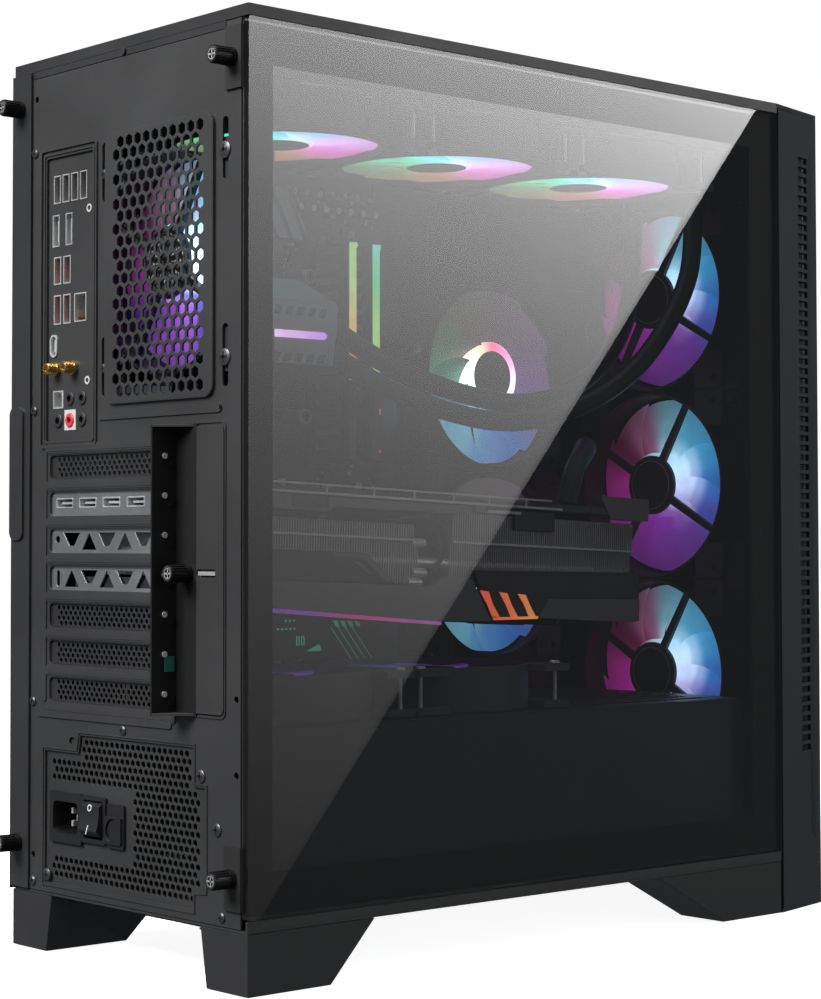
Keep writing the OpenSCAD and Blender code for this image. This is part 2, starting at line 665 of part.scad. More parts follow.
module card_bracket() color(silver) {
  z = slot_top - slot_pitch;
  windows = [for (k = [0:3]) [88 + k * 22, 104 + k * 22]];
  pockets = [for (k = [0:3]) [89 + k * 22, 103 + k * 22]];
  between([58.6, -2.3, z - 3], [180, -1.4, z + 3], windows);
  block([58.6, -2.3, z + 3 + seam], [180, -1.4, z + 9.6]);
  cross_sheet(-1.4, 0.9) difference() {
    rect([58.6, slot_top - 3 * slot_pitch - 9.6], [180, z - 3 - seam]);
    for (k = [0:5])
      translate([66 + k * 18, slot_top - 2.5 * slot_pitch - 12])
        polygon([[0, 0], [12, 0], [6, 10]]);
    for (k = [0:5])
      translate([75 + k * 18, slot_top - 2.5 * slot_pitch + 12])
        polygon([[-6, 0], [6, 0], [0, -10]]);
  }
  for (i = [1:3])
    block([59.4, -1.3, slot_top - i * slot_pitch - 6.2],
      [60.3, 10.5, slot_top - i * slot_pitch + 6.2]);
  between([88.2, -14, z - 2.2], [169.8, -2.4, z + 2.2], pockets);
  for (s = [-2.8, 2.3]) block([88.2, -14, z + s], [169.8, -2.4, z + s + 0.5]);
  block([88.2, -15.9, z - 2.8], [169.8, -14.1, z + 2.8]);
}

module card_rotor_1() color(silver) at_card_fan(0) translate([0, 0, -1]) fan_rotor(card_fan_r, 17, 12);
module card_rotor_2() color(silver) at_card_fan(1) translate([0, 0, -1]) fan_rotor(card_fan_r, 17, 12);
module card_rotor_3() color(silver) at_card_fan(2) translate([0, 0, -1]) fan_rotor(card_fan_r, 17, 12);

// Motherboard and what it carries

module motherboard() color(dark) {
  side_sheet(board_x, 1.6) rect([-249, board_z[0]], [-5, board_z[1]]);
  for (k = [0:3]) block([166.2, -182.2 - k * 9.3 - 3, 268], [174.8, -182.2 - k * 9.3 + 3, 408]);
  for (z = [slot_top - slot_pitch, slot_top - 4 * slot_pitch])
    block([166.4, -146, z + 1.2], [174.8, -52, z + 6.4]);
  block([171, -150, 312], [174.8, -86, 380]);
  block([162, -247, 318], [174.8, -236, 372]);
  for (z = [160, 172, 184]) block([166, -248, z], [174.8, -236, z + 8]);
}

// Rows of rear sockets from the bottom: [from, to] in height, then the pockets across
io_rows = [
  [298.6, 308.6, [[163.6, 173.6]]],
  [328, 339, [[171, 174.4]]],
  [345.4, 361.4, [[142, 153.6], [157.4, 163.8], [166.6, 173]]],
  [367.6, 382.6, [[157.4, 163.8], [166.6, 173]]],
  [388.8, 406, [[156, 161.6], [168.4, 174.4]]],
  [412.8, 427.8, [for (k = [0:3]) [142.3 + k * 8.4, 147.9 + k * 8.4]]]];
jacks = [[157.4, 303.6], [145.8, 303.6], [168.6, 291.8], [157.4, 291.8], [145.8, 291.8]];

module io_ports() color(dark) {
  lows = concat([284], [for (r = io_rows) r[1]]);
  highs = concat([for (r = io_rows) r[0]], [435]);
  block([136, -20, 284], [174.4, -15 - seam, 435]);
  difference() {
    union() {
      for (k = [0:len(lows) - 1]) block([136, -15, lows[k] + seam], [174.4, -1.5, highs[k] - seam]);
      for (r = io_rows) between([136, -15, r[0]], [174.4, -1.5, r[1]], r[2]);
    }
    for (p = jacks) face_rear([p[0], -1, p[1]]) cylinder(h = 13, r = 1.8, $fn = 24);
  }
  cross_sheet(-1.5, 1) {
    for (q = [[132.2, 135.9], [174.5, 180.8]]) rect([q[0], 278.8], [q[1], 440.8]);
    for (q = [[278.8, 283.9], [435.1, 440.8]]) rect([136, q[0]], [174.4, q[1]]);
  }
  for (x = [170.2, 153.6])
    face_front([x, -1.4, 320.4]) cylinder(h = 7.8, r = 3.1, $fn = 36);
}

// Heatsinks

module board_heatsinks() color(dark) {
  difference() {
    block([140, -58, 296], [174.5, -22, 434]);
    for (z = [304:8:426]) block([139, -59, z], [168, -48, z + 3]);
  }
  difference() {
    block([148, -166, 402], [174.5, -60, 434]);
    for (y = [-160:8:-70]) block([147, y, 401], [168, y + 3, 410]);
  }
  block([163, -235.5, 138], [174.5, -150, 232]);
  block([166, -148, 192], [174.5, -60, 230]);
}

module memory_sticks() color(silver) for (y = ram_y) {
  block([166.3 - 33.3, y - 3.6, 272], [166, y + 3.6, 404]);
}

module pump_block() color(dark) difference() {
  union() {
    side_sheet(116, 44) polygon([[-78, 314], [-163, 314], [-166, 366], [-150, 378], [-78, 378]]);
    at([159.9, -118, 346]) rotate([0, 90, 0]) cylinder(h = 10.9, r = 30, $fn = 72);
  }
  at([116, 0, 366]) rotate([0, 40, 0]) translate([-20, -170, 0]) cube([20, 100, 40]);
  for (k = [0:7]) block([114, -158 + k * 10, 357], [119, -153 + k * 10, 362]);
}

module radiator() color(dark) {
  flat_sheet(465.6, 20) difference() {
    rect([20.3, -384.7], [139.7, -25.3]);
    for (x = [32:12:128]) rect([x - 4, -380], [x + 4, -30]);
  }
  flat_sheet(467.6, 15) rect([25, -383], [135, -27]);
  block([20.3, -403, 465.6], [139.7, -384.6, 485.6]);
  block([20.3, -25.4, 465.6], [139.7, -10, 485.6]);
  for (x = [46, 97]) at([x, -393.5, 448]) cylinder(h = 17.8, r = 5.5, $fn = 36);
}

// Tubes swept along hand-placed points by smooth interpolation

tube_1 = [[125, -166.3, 333], [119, -196, 318], [110, -228, 306.5], [98, -258, 299], [88, -282, 298],
  [78, -306, 303.5], [69, -332, 314.5], [61, -357, 333.5], [54, -378, 361], [48.5, -391, 392],
  [46.5, -393.5, 429], [46, -393.5, 447.8]];
tube_2 = [[125, -166.3, 348.5], [122, -198, 333], [116, -233, 320.5], [110, -269, 312.5], [106, -300, 310.5],
  [103, -332, 316.5], [101, -361, 332], [99, -381, 354], [97.5, -391, 380], [97, -393.5, 420],
  [97, -393.5, 447.8]];
cable_1 = [[52, -284, 248.4], [52, -291, 268], [66, -316, 281], [95, -345, 284], [130, -378, 279],
  [160, -398, 273], [190, -400, 272]];
cable_2 = [[190, -260, 345], [172, -260, 345], [158, -258, 345], [150, -250, 345], [152, -243, 345],
  [161.6, -241.5, 345]];

function spline(p, i, t) = let (
  a = p[max(i - 1, 0)], b = p[i], c = p[i + 1], d = p[min(i + 2, len(p) - 1)])
  0.5 * (2 * b + (c - a) * t + (2 * a - 5 * b + 4 * c - d) * t * t + (3 * b - a - 3 * c + d) * t * t * t);

function route(p, steps) = concat(
  [for (i = [0:len(p) - 2]) for (s = [0:steps - 1]) spline(p, i, s / steps)], [p[len(p) - 1]]);

function unit(v) = v / norm(v);

// Ring directions are carried along the route so that the sides never twist
function carry(q, u, i) = unit(u - (u * unit(q[i + 1] - q[i - 1])) * unit(q[i + 1] - q[i - 1]));

function frames(q, i, u) = i >= len(q) - 1 ? [u] : concat([u], frames(q, i + 1, carry(q, u, i)));

module tube(p, r, steps, sides) {
  q = route(p, steps);
  n = len(q);
  start = unit(cross(unit(q[1] - q[0]), [0.3, 0.1, 0.9]));
  u = frames(q, 1, start);
  rings = [for (i = [0:n - 1]) let (
    w = unit(q[min(i + 1, n - 1)] - q[max(i - 1, 0)]),
    a = u[min(i, len(u) - 1)],
    b = cross(w, a))
    for (k = [0:sides - 1]) q[i] + r * (a * cos(k * 360 / sides) + b * sin(k * 360 / sides))];
  at([0, 0, 0]) polyhedron(rings, concat(
    [[for (k = [0:sides - 1]) k]],
    [for (i = [0:n - 2]) for (k = [0:sides - 1]) let (m = (k + 1) % sides)
      [i * sides + k, (i + 1) * sides + k, (i + 1) * sides + m, i * sides + m]],
    [[for (k = [sides - 1:-1:0]) (n - 1) * sides + k]]));
}

module coolant_tube_inner() color(dark) tube(tube_1, 6, 3, 12);
module coolant_tube_outer() color(dark) tube(tube_2, 6, 3, 12);

module card_cable() color(dark) tube(cable_1, 6, 4, 8);
module board_cable() color(dark) tube(cable_2, 4.5, 3, 8);

// Rear screws and rivets

module rivet(x, z, r) at([x, 0.02, z]) rotate([-90, 0, 0]) cylinder(h = 1.3, r = r, $fn = 30);

module case_screws() color(silver) {
  for (p = [[189.8, 442.6], [189.8, 298.2], [189.8, 136.6], [104.8, 125.4], [189.3, 37.6], [20.2, 37.2]])
    rivet(p[0], p[1], 2.2);
  for (z = [rear_fan[1] - 52.5, rear_fan[1] + 52.5]) {
    rivet(18.3, z, 4.4);
    rivet(123.3, z, 2.6);
  }
  for (p = [[37.3, 106.4], [175.3, 42.4], [24, 80.5]]) rivet(p[0], p[1], 3.4);
}

// Drawing

rear_panel();
floor_panel();
roof_frame();
motherboard_tray();
front_frame();
psu_shroud();
case_feet();
slot_covers();
slot_clamp();
clamp_thumbscrew();
glass_thumbscrew_upper();
glass_thumbscrew_lower();
side_thumbscrew_upper();
side_thumbscrew_lower();
glass_pane();
glass_frame();
side_panel();
top_cover();
front_shell();
front_mesh();
power_button();
reset_button();
front_ports();
bottom_filter();
rear_fan_frame();
rear_fan_rotor();
case_fan_frames();
front_rotor_1();
front_rotor_2();
front_rotor_3();
top_rotor_1();
top_rotor_2();
top_rotor_3();
side_rotor_1();
side_rotor_2();
low_rotor_1();
low_rotor_2();
psu_case();
psu_rotor();
psu_inlet();
psu_rocker();
psu_button();
card_board();
card_heatsink();
card_shroud();
card_bracket();
card_rotor_1();
card_rotor_2();
card_rotor_3();
motherboard();
io_ports();
board_heatsinks();
memory_sticks();
pump_block();
radiator();
coolant_tube_inner();
coolant_tube_outer();
card_cable();
board_cable();
case_screws();
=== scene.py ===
import json
import math
import random

import bmesh
import bpy
from mathutils import Matrix, Vector
from mathutils.geometry import delaunay_2d_cdt

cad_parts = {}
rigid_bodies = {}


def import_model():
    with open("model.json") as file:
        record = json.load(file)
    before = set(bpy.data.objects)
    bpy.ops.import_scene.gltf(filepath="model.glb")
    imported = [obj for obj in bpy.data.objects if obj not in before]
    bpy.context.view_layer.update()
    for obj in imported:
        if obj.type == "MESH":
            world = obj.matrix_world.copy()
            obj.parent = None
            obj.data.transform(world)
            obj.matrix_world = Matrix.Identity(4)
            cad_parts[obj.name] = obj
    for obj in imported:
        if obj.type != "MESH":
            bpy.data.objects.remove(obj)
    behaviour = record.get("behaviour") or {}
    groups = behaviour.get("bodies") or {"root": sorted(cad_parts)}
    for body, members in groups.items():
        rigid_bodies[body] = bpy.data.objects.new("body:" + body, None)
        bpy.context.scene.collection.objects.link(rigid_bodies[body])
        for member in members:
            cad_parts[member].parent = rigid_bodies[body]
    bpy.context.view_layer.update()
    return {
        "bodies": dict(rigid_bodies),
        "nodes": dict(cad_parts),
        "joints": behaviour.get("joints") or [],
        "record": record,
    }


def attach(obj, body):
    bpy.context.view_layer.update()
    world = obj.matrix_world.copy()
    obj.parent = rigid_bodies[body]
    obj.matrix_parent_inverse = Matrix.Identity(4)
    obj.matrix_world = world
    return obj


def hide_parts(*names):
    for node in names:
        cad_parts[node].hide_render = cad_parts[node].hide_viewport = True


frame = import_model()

nodes = frame["nodes"]

# Lengths below are millimetres from the rear glass-side ground corner: across, back, up.
CASE_W, REAR_Y = 211.0, 226.5
CARD_SAG, CARD_PIVOT = math.radians(2.2), (-3.0, 246.0)
SLOT_TOP, SLOT_PITCH = 266.1, 20.32


def P(t, y, z):
    """World point of a corner point."""
    return Vector(((t - CASE_W / 2) / 1000, (y + REAR_Y) / 1000, z / 1000))


# Camera
camera_data = bpy.data.cameras.new("camera")
camera_data.lens, camera_data.sensor_width = 84.69, 36.0
camera_data.shift_x, camera_data.shift_y = 0.0967, -0.0420
camera_data.clip_start = 0.05
camera = bpy.data.objects.new("camera", camera_data)
camera.location = (-1.01498, 0.95871, 0.2239)
camera.rotation_euler = Vector((0.7605, -0.6483, 0.0368)).to_track_quat("-Z", "Y").to_euler()
bpy.context.collection.objects.link(camera)
scene = bpy.context.scene
scene.camera = camera
scene.view_settings.view_transform = "Standard"

# Materials


class Look:
    """A Principled material with helpers for its node tree."""

    def __init__(self, name, rough=0.45, metal=0.0, **sockets):
        self.material = bpy.data.materials.new(name)
        self.material.use_nodes = True
        self.tree = self.material.node_tree
        self.shader = self.tree.nodes["Principled BSDF"]
        self.shader.inputs["Roughness"].default_value = rough
        self.shader.inputs["Metallic"].default_value = metal
        for key, value in sockets.items():
            self.shader.inputs[key.replace("_", " ")].default_value = value
        self.where = self.node("ShaderNodeTexCoord").outputs["Object"]

    def node(self, kind, inputs=(), **props):
        made = self.tree.nodes.new(kind)
        for key, value in props.items():
            setattr(made, key, value)
        for key, value in dict(inputs).items():
            socket = made.inputs[key]
            if hasattr(value, "is_output"):
                self.tree.links.new(value, socket)
            else:
                socket.default_value = value
        return made

    def math(self, op, a, b=0.0, c=0.0):
        return self.node("ShaderNodeMath", {0: a, 1: b, 2: c}, operation=op).outputs[0]

    def noise(self, scale, detail=3.0, stretch=None, rough=0.55):
        where = self.where
        if stretch:
            where = self.node("ShaderNodeMapping", {"Vector": where, "Scale": stretch}).outputs[0]
        return self.node("ShaderNodeTexNoise", {"Vector": where, "Scale": scale, "Detail": detail,
                                                "Roughness": rough}).outputs["Fac"]

    def ramp(self, fac, stops, mode="LINEAR"):
        made = self.node("ShaderNodeValToRGB", {"Fac": fac})
        made.color_ramp.interpolation = mode
        items = made.color_ramp.elements
        while len(items) > 1:
            items.remove(items[-1])
        items[0].position, items[0].color = stops[0][0], (*stops[0][1], 1.0)
        for at, colour in stops[1:]:
            items.new(at).color = (*colour, 1.0)
        return made.outputs["Color"]

    def spread(self, fac, low, high, from_low=0.3, from_high=0.7):
        return self.node("ShaderNodeMapRange", {"Value": fac, "From Min": from_low, "From Max": from_high,
                                                "To Min": low, "To Max": high}).outputs[0]

    def to(self, socket, value):
        self.tree.links.new(value, self.shader.inputs[socket])
        return self

    def bump(self, height, strength=0.3, distance=0.0001):
        made = self.node("ShaderNodeBump", {"Height": height, "Strength": strength, "Distance": distance})
        return self.to("Normal", made.outputs[0])


def tint(colour, gain):
    return tuple(min(1.0, c * gain) for c in colour)


def grained(name, colour, rough, metal=0.0, grain=900.0, bump=0.25, spread=0.22, stretch=None, **sockets):
    """A surface with fine grain in its relief, and slow changes of colour and gloss."""
    look = Look(name, rough, metal, **sockets)
    fine, slow = look.noise(grain, 2.0, stretch), look.noise(14.0, 4.0)
    both = look.math("ADD", look.math("MULTIPLY", fine, 0.45), look.math("MULTIPLY", slow, 0.55))
    look.to("Base Color", look.ramp(both, [(0.32, tint(colour, 1 - spread)), (0.68, tint(colour, 1 + spread))]))
    look.to("Roughness", look.spread(both, max(0.02, rough - 0.06), rough + 0.07))
    look.bump(fine, bump)
    return look.material


POWDER = grained("powder_black", (0.030, 0.030, 0.031), 0.46, grain=1500.0, bump=0.35)
PANEL = grained("panel_black", (0.024, 0.024, 0.025), 0.38, grain=1500.0, bump=0.22)
INSIDE = grained("inside_black", (0.016, 0.016, 0.018), 0.5, grain=1300.0)
PLASTIC = grained("black_plastic", (0.020, 0.020, 0.022), 0.5, grain=2200.0, bump=0.3)
FOOT = grained("foot_plastic", (0.020, 0.020, 0.021), 0.55, grain=1800.0, bump=0.4)
SCREW = grained("screw_black", (0.018, 0.018, 0.019), 0.3, 0.6, grain=1200.0, bump=0.2)
SCREW_HEAD = grained("screw_grey", (0.10, 0.10, 0.105), 0.35, 0.7, grain=1200.0, bump=0.2)
BRACKET = grained("bracket_steel", (0.42, 0.42, 0.43), 0.34, 0.85, grain=420.0, stretch=(1.0, 1.0, 6.0), bump=0.15)
FIN = grained("fin_aluminium", (0.55, 0.55, 0.56), 0.4, 0.5, grain=700.0, bump=0.15)
GREY = grained("heatsink_grey", (0.30, 0.31, 0.32), 0.45, 0.1, grain=2000.0, bump=0.3)
PRINT = grained("glass_print", (0.012, 0.012, 0.012), 0.6, grain=600.0, bump=0.05)
BOARD = grained("board_black", (0.010, 0.011, 0.012), 0.4, grain=260.0, bump=0.5)
CARD = grained("card_plastic", (0.15, 0.15, 0.155), 0.46, grain=1600.0, bump=0.3)
CARD_DARK = grained("card_dark", (0.014, 0.014, 0.015), 0.42, grain=1600.0, bump=0.3)
# Lighter copy of the black fan-frame plastic: painted light for the light that falls on the top and low fan frames
PAINTED_LIGHT_FRAME = grained("fan_frame", (0.07, 0.07, 0.072), 0.5, grain=1800.0, bump=0.25)
GOLD = grained("plated_gold", (0.62, 0.42, 0.16), 0.25, 1.0, grain=900.0, bump=0.1)
SHELL = grained("port_shell", (0.75, 0.75, 0.75), 0.38, 0.7, grain=900.0, bump=0.1)
SOCKET = grained("port_dark", (0.012, 0.012, 0.013), 0.4, grain=900.0)
RED = grained("port_red", (0.30, 0.015, 0.018), 0.4, grain=900.0)
RUBBER = grained("tube_rubber", (0.012, 0.012, 0.013), 0.42, grain=1000.0, bump=0.4)
LACQUER = grained("radiator_black", (0.012, 0.012, 0.013), 0.4, grain=900.0)


def glass():
    look = Look("tinted_glass", 0.004, IOR=1.9)
    slow = look.noise(3.0, 3.0)
    look.to("Base Color", look.ramp(slow, [(0.3, (0.006, 0.006, 0.007)), (0.7, (0.009, 0.009, 0.010))]))
    look.to("Roughness", look.spread(look.noise(30.0, 5.0), 0.0, 0.006))
    look.to("Alpha", look.spread(look.noise(6.0, 2.0), 0.34, 0.36))
    look.material.surface_render_method = "BLENDED"
    return look.material


GLASS = glass()


def around(*colours):
    """Ramp stops round a full turn, from -180 degrees back to -180 degrees."""
    closed = list(colours) + [colours[0]]
    return [(k / (len(closed) - 1), c if isinstance(c, tuple) else (c,) * 3) for k, c in enumerate(closed)]


def lit_rotor(name, colours, levels, core, gain, hub=20.0, tip=55.0, fade=(1.0, 0.62, 0.42, 0.30)):
    """Frosted rotor: colours, their levels and a white core run round the axis, and the glow fades to the tips."""
    look = Look(name, 0.38)
    where = look.node("ShaderNodeSeparateXYZ", {"Vector": look.where}).outputs
    turn = look.math("MULTIPLY_ADD", look.math("ARCTAN2", where["Y"], where["X"]), 1 / math.tau, 0.5)
    reach = look.math("SQRT", look.math("ADD", look.math("MULTIPLY", where["X"], where["X"]),
                                        look.math("MULTIPLY", where["Y"], where["Y"])))
    out = look.node("ShaderNodeMapRange", {"Value": reach, "From Min": hub / 1000, "From Max": tip / 1000,
                                           "To Min": 0.0, "To Max": 1.0}).outputs[0]
    near = look.ramp(out, [(0.0, (1, 1, 1)), (0.16, (0.5,) * 3), (0.42, (0, 0, 0))], "EASE")
    white = look.math("MULTIPLY", near, look.ramp(turn, around(*core), "EASE"))
    colour = look.node("ShaderNodeVectorMath", {0: look.ramp(turn, around(*colours), "EASE"), 1: white},
                       operation="ADD").outputs[0]
    spokes = look.ramp(out, [(k / 3, (v,) * 3) for k, v in enumerate(fade)])
    rings = look.math("MULTIPLY_ADD", look.math("SINE", look.math("MULTIPLY", reach, 3800.0)), 0.06, 0.94)
    veins = look.spread(look.noise(60.0, 3.0), 0.9, 1.1)
    level = look.math("MULTIPLY", look.ramp(turn, around(*levels), "EASE"), gain)
    strength = look.math("MULTIPLY", look.math("MULTIPLY", spokes, rings), look.math("MULTIPLY", veins, level))
    look.to("Base Color", look.ramp(look.noise(90.0), [(0.3, (0.02, 0.02, 0.025)), (0.7, (0.035, 0.035, 0.04))]))
    look.to("Emission Color", colour).to("Emission Strength", strength)
    look.bump(look.math("SINE", look.math("MULTIPLY", reach, 3800.0)), 0.2)
    return look.material


def glow_strip(name, axis, low, high, colours, gain):
    """Light bar whose colour changes between two places along one axis, in corner millimetres."""
    look = Look(name, 0.4)
    where = look.node("ShaderNodeSeparateXYZ", {"Vector": look.where}).outputs[axis]
    a, b = P(low, low, low)["XYZ".index(axis)], P(high, high, high)["XYZ".index(axis)]
    along = look.node("ShaderNodeMapRange", {"Value": where, "From Min": a, "From Max": b}).outputs[0]
    look.to("Emission Color", look.ramp(along, [(k / max(1, len(colours) - 1), c) for k, c in enumerate(colours)]))
    look.to("Emission Strength", look.math("MULTIPLY", look.spread(look.noise(120.0), 0.9, 1.1), gain))
    look.to("Base Color", look.ramp(look.noise(80.0), [(0.3, (0.05,) * 3), (0.7, (0.07,) * 3)]))
    look.bump(look.noise(900.0), 0.1)
    return look.material


# Shapes


def axes(origin, out, across):
    """Frame at origin whose Z runs along out and whose X runs along across."""
    z, x = Vector(out).normalized(), Vector(across).normalized()
    return Matrix.Translation(Vector(origin)) @ Matrix((x, z.cross(x), z)).transposed().to_4x4()


CARD_FRAME = (Matrix.Translation(Vector((0, *CARD_PIVOT))) @ Matrix.Rotation(CARD_SAG, 4, "X")
              @ Matrix.Translation(-Vector((0, *CARD_PIVOT))))


def ring(x, y, r, count, start=0.0, sweep=math.tau):
    steps = count if sweep == math.tau else count - 1
    return [(x + r * math.cos(start + sweep * k / steps), y + r * math.sin(start + sweep * k / steps))
            for k in range(count)]


def rounded(a, b, r, count=6):
    quarter = math.pi / 2
    return (ring(b[0] - r, b[1] - r, r, count, 0, quarter) + ring(a[0] + r, b[1] - r, r, count, quarter, quarter)
            + ring(a[0] + r, a[1] + r, r, count, 2 * quarter, quarter)
            + ring(b[0] - r, a[1] + r, r, count, 3 * quarter, quarter))


def rect(a, b):
    return [(a[0], a[1]), (b[0], a[1]), (b[0], b[1]), (a[0], b[1])]


def honeycomb(a, b, pitch, r, keep=lambda x, y: True):
    """Holes with a corner up, in staggered rows that fill the field from a to b."""
    rise = pitch * 0.866
    rows, cols = int((b[1] - a[1] - 2 * r) / rise) + 1, int((b[0] - a[0] - 2 * r) / pitch)
    x0 = (a[0] + b[0]) / 2 - (cols - 0.5) * pitch / 2
    y0 = (a[1] + b[1]) / 2 - (rows - 1) * rise / 2
    spots = [(x0 + (i + (j % 2) / 2) * pitch, y0 + j * rise) for j in range(rows) for i in range(cols)]
    return [ring(x, y, r, 6, math.pi / 6) for x, y in spots if keep(x, y)]


def area_of(loop):
    return sum(loop[i - 1][0] * loop[i][1] - loop[i][0] * loop[i - 1][1] for i in range(len(loop))) / 2


def inside(p, loop):
    hit = False
    for i in range(len(loop)):
        (x0, y0), (x1, y1) = loop[i - 1], loop[i]
        if (y0 > p[1]) != (y1 > p[1]) and p[0] < x0 + (p[1] - y0) * (x1 - x0) / (y1 - y0):
            hit = not hit
    return hit


class Shape:
    """Faces gathered in corner millimetres, or in the millimetres of a frame, then made into one object."""

    def __init__(self, frame=Matrix.Identity(4)):
        self.points, self.faces, self.slots, self.frame = [], [], [], frame

    def add(self, points, faces, slot=0):
        first = len(self.points)
        self.points += [P(*(self.frame @ Vector(p))) for p in points]
        self.faces += [[first + i for i in face] for face in faces]
        self.slots += [slot] * len(faces)
        return self

    def box(self, a, b, slot=0):
        a, b = [min(p) for p in zip(a, b)], [max(p) for p in zip(a, b)]
        x, y, z = zip(a, b)
        points = [(x[i], y[j], z[k]) for k in (0, 1) for j in (0, 1) for i in (0, 1)]
        faces = [(0, 2, 3, 1), (4, 5, 7, 6), (0, 1, 5, 4), (2, 6, 7, 3), (0, 4, 6, 2), (1, 3, 7, 5)]
        return self.add(points, faces, slot)

    def plate(self, outline, holes, axis, low, high, slot=0):
        """Sheet with holes. Loops lie in the two axes that follow axis in the order x, y, z."""
        others = [a for a in (0, 1, 2) if a != axis]
        loops = [outline if area_of(outline) > 0 else outline[::-1]]
        loops += [hole if area_of(hole) < 0 else hole[::-1] for hole in holes]
        flat = [p for loop in loops for p in loop]
        owner = [k for k, loop in enumerate(loops) for p in loop]
        edges, first = [], 0
        for loop in loops:
            edges += [(first + i, first + (i + 1) % len(loop)) for i in range(len(loop))]
            first += len(loop)
        spots, _, tris, source, _, _ = delaunay_2d_cdt([Vector(p) for p in flat], edges, [], 1, 1e-6)
        caps = []
        for tri in tris:
            ids = [source[v][0] for v in tri]
            k = owner[ids[0]]
            middle = sum((Vector(flat[i]) for i in ids), Vector((0, 0))) / 3
            if k and all(owner[i] == k for i in ids) and inside(middle, loops[k]):
                continue
            caps.append(ids if area_of([flat[i] for i in ids]) > 0 else ids[::-1])
        points = []
        for level in (low, high):
            for p in flat:
                point = [0.0, 0.0, 0.0]
                point[axis], point[others[0]], point[others[1]] = level, p[0], p[1]
                points.append(point)
        n = len(flat)
        faces = [ids[::-1] for ids in caps] + [[n + i for i in ids] for ids in caps]
        faces += [(i, j, n + j, n + i) for i, j in edges]
        if axis == 1:
            faces = [tuple(reversed(face)) for face in faces]
        return self.add(points, faces, slot)

    def turned(self, centre, axis, rings, count=32, slot=0):
        """Closed turned profile: rings is [(radius, level)] along axis; centre is in the other two axes."""
        others = [a for a in (0, 1, 2) if a != axis]
        points, faces = [], []
        for radius, level in rings:
            for x, y in ring(centre[0], centre[1], max(radius, 0.001), count):
                point = [0.0, 0.0, 0.0]
                point[axis], point[others[0]], point[others[1]] = level, x, y
                points.append(point)
        for r in range(len(rings) - 1):
            for k in range(count):
                m = (k + 1) % count
                faces.append((r * count + k, r * count + m, (r + 1) * count + m, (r + 1) * count + k))
        if rings[0] != rings[-1]:
            faces.append(tuple(reversed(range(count))))
            faces.append(tuple((len(rings) - 1) * count + k for k in range(count)))
        if axis == 1:
            faces = [tuple(reversed(face)) for face in faces]
        return self.add(points, faces, slot)

    def hull(self, points, slot=0):
        shell = bmesh.new()
        for p in points:
            shell.verts.new(p)
        made = bmesh.ops.convex_hull(shell, input=shell.verts)
        bmesh.ops.delete(shell, geom=made["geom_unused"] + made["geom_interior"], context="VERTS")
        bmesh.ops.recalc_face_normals(shell, faces=shell.faces)
        shell.verts.index_update()
        out = [tuple(v.co) for v in shell.verts]
        faces = [tuple(v.index for v in face.verts) for face in shell.faces]
        shell.free()
        return self.add(out, faces, slot)

    def make(self, name, looks, body="chassis", replaces=(), bevel=0.0, angle=35.0):
        mesh = bpy.data.meshes.new(name)
        mesh.from_pydata(self.points, [], self.faces)
        for look in looks:
            mesh.materials.append(look)
        for face, k in zip(mesh.polygons, self.slots):
            face.material_index = k
        mesh.validate()
        mesh.shade_smooth()
        mesh.set_sharp_from_angle(angle=math.radians(angle))
        made = bpy.data.objects.new(name, mesh)
        bpy.context.collection.objects.link(made)
        if bevel:
            soften(made, bevel)
        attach(made, body)
        if replaces:
            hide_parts(*replaces)
        return made


def soften(made, width, weld=False):
    if weld:
        made.modifiers.new("weld", "WELD").merge_threshold = 0.00001
    edge = made.modifiers.new("edges", "BEVEL")
    edge.width, edge.segments, edge.limit_method = width / 1000, 2, "ANGLE"
    edge.angle_limit, edge.harden_normals = math.radians(40), not weld


def dress(names, look):
    for name in names.split():
        mesh = nodes[name].data
        mesh.materials.clear()
        mesh.materials.append(look)


dress("floor_panel roof_frame psu_shroud slot_covers", POWDER)
dress("motherboard_tray front_frame", INSIDE)
dress("side_panel top_cover front_shell", PANEL)
dress("case_feet", FOOT)
dress("glass_frame", PRINT)
dress("glass_pane", GLASS)
dress("clamp_thumbscrew glass_thumbscrew_upper glass_thumbscrew_lower side_thumbscrew_upper "
      "side_thumbscrew_lower", SCREW)
dress("psu_inlet psu_rocker psu_button", SOCKET)
dress("front_mesh front_ports bottom_filter psu_rotor power_button "
      "reset_button card_rotor_1 card_rotor_2 card_rotor_3", PLASTIC)
dress("card_board motherboard", BOARD)
dress("card_shroud", CARD_DARK)
dress("radiator", LACQUER)
for name in ("top_cover", "side_panel", "case_feet", "front_shell", "psu_inlet"):
    soften(nodes[name], 0.35, weld=True)

# Cords


def smooth(points, steps=8):
    """Catmull-Rom line through the points."""
    p = [Vector(q) for q in points]
    out = []
    for i in range(len(p) - 1):
        a, b, c, d = p[max(i - 1, 0)], p[i], p[i + 1], p[min(i + 2, len(p) - 1)]
        for k in range(steps):
            t = k / steps
            out.append(0.5 * (2 * b + (c - a) * t + (2 * a - 5 * b + 4 * c - d) * t ** 2
                              + (3 * b - a - 3 * c + d) * t ** 3))
    return [P(*q) for q in out + [p[-1]]]


def add_cord(name, points, radius, look, replaces=()):
    line = smooth(points)
    data = bpy.data.curves.new(name, "CURVE")
    data.dimensions, data.bevel_depth, data.bevel_resolution = "3D", radius / 1000, 5
    data.use_fill_caps = True
    spline = data.splines.new("POLY")
    spline.points.add(len(line) - 1)
    for point, co in zip(spline.points, line):
        point.co = (*co, 1.0)
    data.materials.append(look)
    made = bpy.data.objects.new(name, data)
    bpy.context.collection.objects.link(made)
    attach(made, "chassis")
    if replaces:
        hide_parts(*replaces)
    return made


